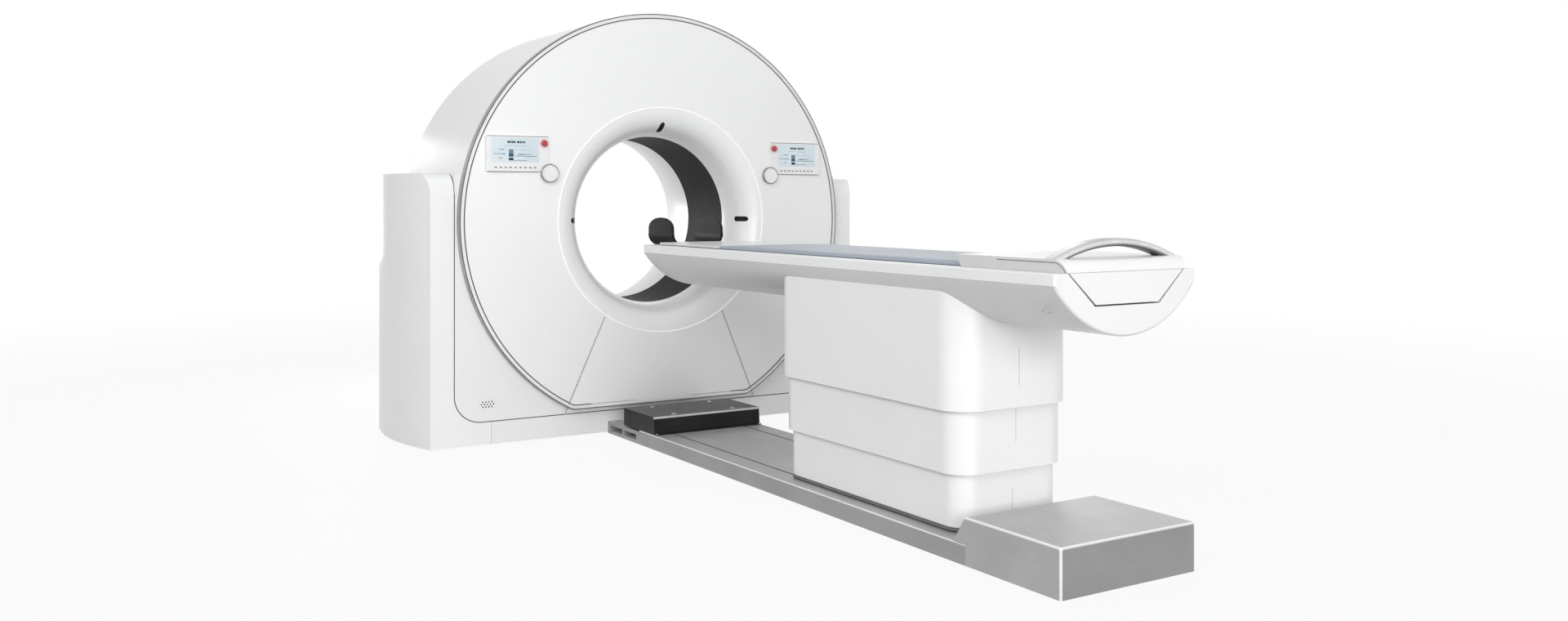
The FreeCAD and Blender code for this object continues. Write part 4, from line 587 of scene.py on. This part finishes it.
def swell(obj, keep, reach):
    """Blows the skin up like a foam-filled cover; kept points stay, others move by reach at most."""
    last_frame = 20
    group = obj.vertex_groups.new(name="kept")
    group.add(keep, 1.0, "ADD")
    before = [vertex.co.copy() for vertex in obj.data.vertices]
    scene = bpy.context.scene
    modifier = obj.modifiers.new("swell", "CLOTH")
    cloth = modifier.settings
    cloth.quality = 5
    cloth.mass = 0.3
    cloth.tension_stiffness = 20
    cloth.compression_stiffness = 20
    cloth.bending_stiffness = 2
    cloth.use_pressure = True
    cloth.uniform_pressure_force = 4
    cloth.vertex_group_mass = "kept"
    cloth.effector_weights.gravity = 0
    modifier.collision_settings.use_collision = False
    modifier.point_cache.frame_start = 1
    modifier.point_cache.frame_end = last_frame
    for frame_number in range(1, last_frame + 1):
        scene.frame_set(frame_number)
    state = obj.evaluated_get(bpy.context.evaluated_depsgraph_get())
    after = [vertex.co.copy() for vertex in state.data.vertices]
    obj.modifiers.remove(modifier)
    scene.frame_set(1)
    for vertex, old, new in zip(obj.data.vertices, before, after):
        move = new - old
        if move.length > reach:
            move = move.normalized() * reach
        vertex.co = old + move
    obj.vertex_groups.clear()


def make_mattress():
    """Thin foam pad that laps over the cradle's edges, with a wedge at its head end."""
    low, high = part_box("mattress")
    lap, swelling, bulge = 0.009, 0.007, 0.002
    seat = low.z + lap
    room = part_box("cradle")[1].x + 0.0003
    half, foot, tip = high.x - bulge, low.y + bulge, high.y - bulge
    top, tip_top, shoulder = high.z - swelling, 0.9236, -1.508
    edge, cell = 0.0045, 0.012
    corner_steps = (0.0015, 0.0045)
    side = [half - edge * part for part in (0, 0.3, 0.65, 1.0)]
    across = side + [room + 0.0012, room - 0.0002]
    across = [-x for x in across] + even(-room + cell, room - cell, cell) + across[::-1]
    rise = [0, 0.35, 0.7, 0.88, 1.0]
    along = [foot] + [foot + step for step in corner_steps]
    along += even(foot + cell, shoulder, cell) + even(shoulder + cell, tip - cell, cell)
    along += [tip - step for step in corner_steps[::-1]] + [tip]

    def top_at(y):
        if y < shoulder:
            return top
        return top + (tip_top - top) * (y - shoulder) / (tip - shoulder)

    def place(i, j, k):
        x, y = across[i], along[k]
        floor = low.z if abs(x) > room else seat
        ceiling = top_at(y)
        z = floor + (ceiling - floor) * rise[j]
        point = rounded_point((x, y, z), (-half, foot, -1.0), (half, tip, ceiling), edge)
        if j == 0:
            point.z = floor
        return point

    bm = box_skin((len(across) - 1, len(rise) - 1, len(along) - 1), place)
    mesh = mesh_of("mattress_pad", bm)
    pad = piece("mattress_pad", mesh, pad_grey, "cradle_slide")
    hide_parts("mattress")
    keep = [v.index for v in mesh.vertices if v.co.z < seat + 0.0005]
    swell(pad, keep, 0.0035)
    finer = pad.modifiers.new("finer", "SUBSURF")
    finer.levels = 1
    finer.render_levels = 1


# Marks on a screen as (left, right, low, high) shares of its width and height.
TITLE = [(0.330, 0.372), (0.382, 0.415), (0.424, 0.458), (0.466, 0.500),
         (0.532, 0.580), (0.592, 0.622), (0.634, 0.656), (0.668, 0.700)]
SCREEN_DARK = [(left, right, 0.785, 0.872) for left, right in TITLE] + [
    (0.357, 0.456, 0.083, 0.190), (0.456, 0.740, 0.080, 0.096), (0.485, 0.953, 0.250, 0.268),
    (0.550, 0.700, 0.315, 0.345)]
SCREEN_NAVY = [(0.357, 0.456, 0.229, 0.354)]
SCREEN_SLATE = [(0.357, 0.456, 0.354, 0.530), (0.050, 0.120, 0.330, 0.358), (0.130, 0.210, 0.330, 0.358),
                (0.225, 0.287, 0.325, 0.362), (0.146, 0.195, 0.505, 0.538), (0.205, 0.257, 0.502, 0.540),
                (0.710, 0.760, 0.325, 0.355), (0.775, 0.830, 0.320, 0.352)]
SCREEN_GREY = [(0.270, 0.330, 0.676, 0.692), (0.345, 0.420, 0.672, 0.690), (0.436, 0.470, 0.682, 0.694),
               (0.500, 0.590, 0.668, 0.686), (0.610, 0.730, 0.655, 0.678), (0.490, 0.560, 0.516, 0.530),
               (0.585, 0.640, 0.512, 0.524), (0.665, 0.760, 0.506, 0.520), (0.785, 0.855, 0.502, 0.520)]
SCREEN_PALE = [(0.470, 0.680, 0.112, 0.238), (0.300, 0.350, 0.080, 0.560)]
SCREEN_BROWN = [(0.150, 0.178, 0.160, 0.196), (0.188, 0.220, 0.150, 0.200)]


def screen_marks(side_name):
    """Generic blobs and bars that are printed on a screen."""
    low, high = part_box(f"{side_name}_screen")
    groups = {"dark": (ui_dark, SCREEN_DARK), "navy": (ui_navy, SCREEN_NAVY),
              "slate": (ui_slate, SCREEN_SLATE), "grey": (ui_grey, SCREEN_GREY),
              "pale": (ui_pale, SCREEN_PALE), "brown": (ui_brown, SCREEN_BROWN)}
    width, height = high.x - low.x, high.z - low.z
    for tone, (mat, shares) in groups.items():
        bm = bmesh.new()
        for left, right, bottom, top in shares:
            add_plate(bm, (low.x + width * left, low.x + width * right),
                      (low.z + height * bottom, low.z + height * top), low.y,
                      PRINT if tone != "pale" else PRINT / 2)
        name = f"{side_name}_screen_{tone}"
        piece(name, mesh_of(name, bm), mat, "base", smooth=False)


def panel_details(side, side_name):
    """Dark joint lines along the housing's top and bottom edges, darkened as painted shade of the gap,
    the halo of the stop button and the dial's rim and marks.
    """
    low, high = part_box(f"{side_name}_panel_housing")
    screen_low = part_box(f"{side_name}_screen")[0]
    face = low.y
    near, far = sorted((side * 0.590, side * 0.885))
    line_end, line_half = 0.004, 0.0013
    bm = bmesh.new()
    # Dark strips on the housing's face at its top and bottom edges: the joint, drawn dark as painted
    # shade of the gap.
    for z in (high.z - 0.0015, screen_low.z - 0.0415):
        add_plate(bm, (near + line_end, far - line_end), (z - line_half, z + line_half), face)
    piece(f"{side_name}_panel_lines", mesh_of(f"{side_name}_panel_lines", bm), seam_dark, "base",
          smooth=False)

    stop_low, stop_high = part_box(f"{side_name}_stop_button")
    stop = (stop_low + stop_high) / 2
    halo_profile = [(0.0135, 0.0), (0.0135, 0.0004), (0.0235, 0.0004), (0.0245, 0.0)]
    halo = lathe(f"{side_name}_stop_halo", halo_profile, (stop.x, face, stop.z), OUT, 48)
    piece(f"{side_name}_stop_halo", halo, halo_pink, "base")
    rim_profile = [(0.0132, 0.0), (0.0134, 0.0045), (0.0128, 0.0074), (0.0106, 0.0080),
                   (0.0090, 0.0071), (0.0088, 0.0066)]
    button_rim = lathe(f"{side_name}_stop_rim", rim_profile, (stop.x, stop_low.y + 0.007, stop.z),
                       OUT, 48)
    piece(f"{side_name}_stop_rim", button_rim, stop_dark, f"{side_name}_stop")

    dial_low, dial_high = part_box(f"{side_name}_dial")
    dial = (dial_low + dial_high) / 2
    centre = (dial.x, dial_low.y, dial.z)
    rim_profile = [(0.0420, -0.0125), (0.0428, -0.0120), (0.0430, -0.0020), (0.0422, 0.0002),
                   (0.0400, 0.0007), (0.0378, 0.0003), (0.0376, -0.0003)]
    rim = lathe(f"{side_name}_dial_rim", rim_profile, centre, OUT, 96)
    piece(f"{side_name}_dial_rim", rim, dial_rim, f"{side_name}_knob")
    count, quarter = 24, 6
    mark_half, mark_foot, mark_top, quarter_top = 0.0006, 0.0318, 0.0345, 0.0362
    bm = bmesh.new()
    for index in range(count):
        end = mark_top if index % quarter else quarter_top
        verts = add_block(bm, (-mark_half, -PRINT, mark_foot), (mark_half, PRINT, end))
        bmesh.ops.rotate(bm, verts=verts, cent=(0, 0, 0),
                         matrix=Matrix.Rotation(2 * math.pi * index / count, 3, "Y"))
    bmesh.ops.translate(bm, verts=bm.verts, vec=centre)
    name = f"{side_name}_dial_marks"
    piece(name, mesh_of(name, bm), seam_pale, f"{side_name}_knob", smooth=False)


def make_grille():
    """Black discs where the sound holes are, standing just proud of the grille's front."""
    low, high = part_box("speaker_grille")
    middle = (low + high) / 2
    pitch, row_pitch, hole_radius, thick = 0.014, 0.0112, 0.0034, 0.0008
    bm = bmesh.new()
    for row, count in ((-1, 4), (0, 5), (1, 4)):
        for index in range(count):
            x = middle.x + (index - (count - 1) / 2) * pitch
            add_disc(bm, (x, low.y + 0.0002, middle.z + row * row_pitch), OUT, hole_radius, thick, 20)
    piece("speaker_hole_discs", mesh_of("speaker_hole_discs", bm), grille_black, "base")


def hatch_slits():
    """Row of fine vent slits along each slanted side of the hatch."""
    foot_half, top_half = 0.502, 0.313
    foot_z, top_z = 0.120, 0.560
    half_width, half_height, proud, deep = 0.0035, 0.0020, 0.0004, 0.0020
    count = 46
    bm = bmesh.new()
    for side, _ in SIDES:
        for index in range(count):
            share = (index + 0.5) / count
            x = side * (foot_half + (top_half - foot_half) * share)
            z = foot_z + (top_z - foot_z) * share
            y = dish_face(x, z)
            add_block(bm, (x - half_width, y - proud, z - half_height),
                      (x + half_width, y + deep, z + half_height))
    piece("hatch_slits", mesh_of("hatch_slits", bm), seam_dark, "base", smooth=False)


def dish_face(x, z):
    """Where the front of the dished cover lies, in y."""
    radius = math.hypot(x, z - ISO)
    rim, dish, width = -0.360, 0.018, 0.456
    return rim - dish * (1.0 - radius) / width


def smoked_details():
    """Screws on the smoked box and its foot, and a light strip along the front edge of its lid that is a
    painted highlight.
    """
    low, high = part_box("rail_link_cover")
    bm = bmesh.new()
    for x in (-0.150, 0.150):
        for y in (low.y + 0.064, high.y - 0.050):
            add_screw(bm, (x, y, high.z), 0.0105, 0.0028)
    for x in (low.x + 0.009, high.x - 0.009):
        add_screw(bm, (x, low.y + 0.006, 0.0685), 0.005, 0.003)
    piece("smoked_box_screws", mesh_of("smoked_box_screws", bm), screw_steel, "base")
    edge_y, proud = low.y + 0.022, 0.0003
    section = [(-0.0012, -0.0085), (-0.0010, -0.0010), (0.0012, 0.0006), (0.0030, 0.0006),
               (0.0030, -0.0085)]
    bm = bmesh.new()
    rings = [[bm.verts.new((x, edge_y + y, high.z + z)) for y, z in section]
             for x in (low.x - proud, high.x + proud)]
    bridge(bm, rings)
    cap(bm, rings)
    piece("smoked_lid_highlight", mesh_of("smoked_lid_highlight", bm), highlight_strip_grey, "base",
          smooth=False)


def add_screw(bm, place, radius, height):
    """A pan-headed screw that stands on a washer, with a round recess in its head."""
    profile = [(1.0, 0.0), (1.0, 0.3), (0.72, 0.34), (0.68, 0.8), (0.5, 1.0), (0.18, 1.0), (0.12, 0.5)]
    where = standing(place, (0, 0, 1))
    rings = [circle(bm, where, radius * out, height * up, 24) for out, up in profile]
    bridge(bm, rings)
    bm.faces.new(rings[-1])


def ribbon(name, path, width, depth, mat, body, closed=False):
    """A flat line of even width along a path of (x, y, z) that is seen from the front."""
    bm = bmesh.new()
    rings = []
    for index, point in enumerate(path):
        before = path[index - 1] if index or closed else point
        after = path[(index + 1) % len(path)] if index + 1 < len(path) or closed else point
        run = Vector((after[0] - before[0], after[2] - before[2])).normalized()
        x, z = -run.y * width / 2, run.x * width / 2
        rings.append([bm.verts.new((point[0] + side * x, point[1] + deep, point[2] + side * z))
                      for side, deep in ((-1, 0.0), (1, 0.0), (1, depth), (-1, depth))])
    if closed:
        bridge(bm, rings + rings[:1])
    else:
        bridge(bm, rings)
        cap(bm, rings)
    piece(name, mesh_of(name, bm), mat, body, smooth=False)


def disc_path(inset, y):
    """Outline of the front disc, drawn in by inset: a circle with a flat foot and rounded corners."""
    corner, big, flat = 0.070 - inset, 1.0 - inset, inset - DROP
    centre_z = flat + corner
    centre_x = math.sqrt((big - corner) ** 2 - centre_z ** 2)
    start = math.atan2(centre_z, centre_x)
    points = [(big * math.cos(angle), big * math.sin(angle))
              for angle in [start + (math.pi - 2 * start) * i / 240 for i in range(241)]]
    turn = [start + (-math.pi / 2 - start) * i / 12 for i in range(1, 13)]
    arc = [(centre_x + corner * math.cos(angle), centre_z + corner * math.sin(angle)) for angle in turn]
    points += [(-x, z) for x, z in arc] + arc[::-1]
    return [(x, y, ISO + z) for x, z in points]


def cover_seams():
    """Fine dark joints: two round the disc, and one between the towers and the front panel."""
    for name, inset, width in (("disc_line", 0.0215, 0.0050), ("disc_rim_line", 0.0026, 0.0046)):
        path = disc_path(inset, DISC_EDGE_FACE)
        ribbon(name, path, width, 0.0022, seam_dark, "base", closed=True)
    face, corner, low = FRAME_FACE - PRINT, 0.12425, 0.10775
    bend, bend_foot, bend_top = 0.100, 1.134, 1.2335
    path = []
    for z in even(bend_top, bend_foot, 0.006):
        back = bend - math.sqrt(bend ** 2 - (z - bend_foot) ** 2)
        path.append((TOWER_EDGE, face + back, z))
    path.append((TOWER_EDGE, face, low + corner))
    middle = TOWER_EDGE - corner
    for i in range(1, 17):
        angle = math.pi / 2 * i / 16
        path.append((middle + corner * math.cos(angle), face, low + corner - corner * math.sin(angle)))
    mirrored = [(-x, y, z) for x, y, z in path]
    ribbon("front_panel_joint", path + mirrored[::-1], 0.0045, 0.0020, seam_dark, "base")


def column_seams():
    """A fine vertical joint down each lift cover's ends."""
    half_width, proud = 0.0009, 0.0002
    for body, node_name, bottom, top in (("carriage", "lower_lift_cover", 0.110, 0.190),
                                         ("lift_middle", "middle_lift_cover", 0.338, 0.447),
                                         ("lift_top", "upper_lift_cover", 0.522, 0.646)):
        low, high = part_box(node_name)
        bm = bmesh.new()
        for y in (low.y, high.y):
            add_block(bm, (-half_width, y - proud, bottom), (half_width, y + proud, top))
        name = node_name.replace("cover", "joint")
        piece(name, mesh_of(name, bm), seam_pale, body, smooth=False)


def hull_plugs():
    """Small oval plug on each side of the hull, near its foot end."""
    half_length, half_height = 0.0205, 0.0085
    count = 40
    angles = [2 * math.pi * i / count for i in range(count)]
    bm = bmesh.new()
    for side, _ in SIDES:
        centre = Vector((side * 0.2365, -3.3665, 0.800))
        outward = Vector((side * 0.62, 0, -0.78)).normalized()
        along = Vector((0, 1, 0))
        down = outward.cross(along)
        rings = []
        for grow, lift in ((1.0, -0.0004), (1.0, 0.0010), (0.80, 0.0014), (0.72, 0.0002)):
            rings.append([bm.verts.new(centre + along * half_length * grow * math.cos(angle)
                                       + down * half_height * grow * math.sin(angle)
                                       + outward * lift) for angle in angles])
        bridge(bm, rings)
    piece("hull_plugs", mesh_of("hull_plugs", bm), seam_pale, "lift_top")


def block_seams():
    """Joints of the foot block: over its wedge, and along the side of its slab over the shoulder."""
    low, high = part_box("foot_block")
    joint_half = 0.2355
    bm = bmesh.new()
    add_plate(bm, (-joint_half, joint_half), (0.9118, 0.9136), low.y)
    piece("foot_block_joint", mesh_of("foot_block_joint", bm), seam_pale, "cradle_slide",
          smooth=False)
    slab_half, slab_foot = 0.236, 0.9123
    lean = (high.x - slab_half) / (high.z - slab_foot)
    crest_y, seam_low, turn_radius, width = -3.413, 0.911, 0.031, 0.0012
    sunk, proud = -0.001, 0.0004
    line = [(-3.160, seam_low + turn_radius)]
    for i in range(11):
        angle = math.pi / 2 * i / 10
        line.append((crest_y - turn_radius * math.sin(angle), seam_low + turn_radius * math.cos(angle)))
    bm = bmesh.new()
    for side, _ in SIDES:
        rings = []
        for index, (y, z) in enumerate(line):
            before, after = line[max(index - 1, 0)], line[min(index + 1, len(line) - 1)]
            run = Vector((after[0] - before[0], after[1] - before[1])).normalized()
            x = slab_half + (z - slab_foot) * lean
            section = ((sunk, -width), (proud, -width), (proud, width), (sunk, width))
            rings.append([bm.verts.new((side * (x + out), y - run.y * off, z + run.x * off))
                          for out, off in section])
        bridge(bm, rings)
        cap(bm, rings)
    piece("foot_block_seam", mesh_of("foot_block_seam", bm), seam_dark, "cradle_slide",
          smooth=False)


ui_dark = surface("ui_dark", (0.010, 0.014, 0.020), (0.018, 0.024, 0.034), patch=0.01, rough=(0.1, 0.2))
ui_navy = surface("ui_navy", (0.020, 0.070, 0.140), (0.030, 0.090, 0.170), patch=0.01, rough=(0.1, 0.2))
ui_slate = surface("ui_slate", (0.130, 0.190, 0.260), (0.170, 0.240, 0.320), patch=0.01, rough=(0.1, 0.2))
ui_grey = surface("ui_grey", (0.340, 0.380, 0.420), (0.400, 0.440, 0.480), patch=0.01, rough=(0.1, 0.2))
ui_pale = surface("ui_pale", (0.600, 0.750, 0.850), (0.680, 0.820, 0.900), patch=0.02, rough=(0.1, 0.2))
ui_brown = surface("ui_brown", (0.300, 0.220, 0.170), (0.380, 0.290, 0.230), patch=0.01, rough=(0.1, 0.2))
halo_pink = surface("halo_pink", (0.80, 0.62, 0.62), (0.86, 0.70, 0.70), patch=0.02, rough=(0.3, 0.4))
stop_dark = surface("stop_dark", (0.22, 0.010, 0.020), (0.30, 0.015, 0.030), patch=0.01, rough=(0.2, 0.3),
                    coat=0.5)
dial_rim = surface("dial_rim", grey(0.20), grey(0.30), patch=0.01, rough=(0.2, 0.3), metal=0.8)
grille_black = surface("grille_black", grey(0.010), grey(0.018), patch=0.003, rough=(0.8, 0.9))

make_mattress()
for side, side_name in SIDES:
    screen_marks(side_name)
    panel_details(side, side_name)
make_grille()
hatch_slits()
smoked_details()
cover_seams()
column_seams()
hull_plugs()
block_seams()
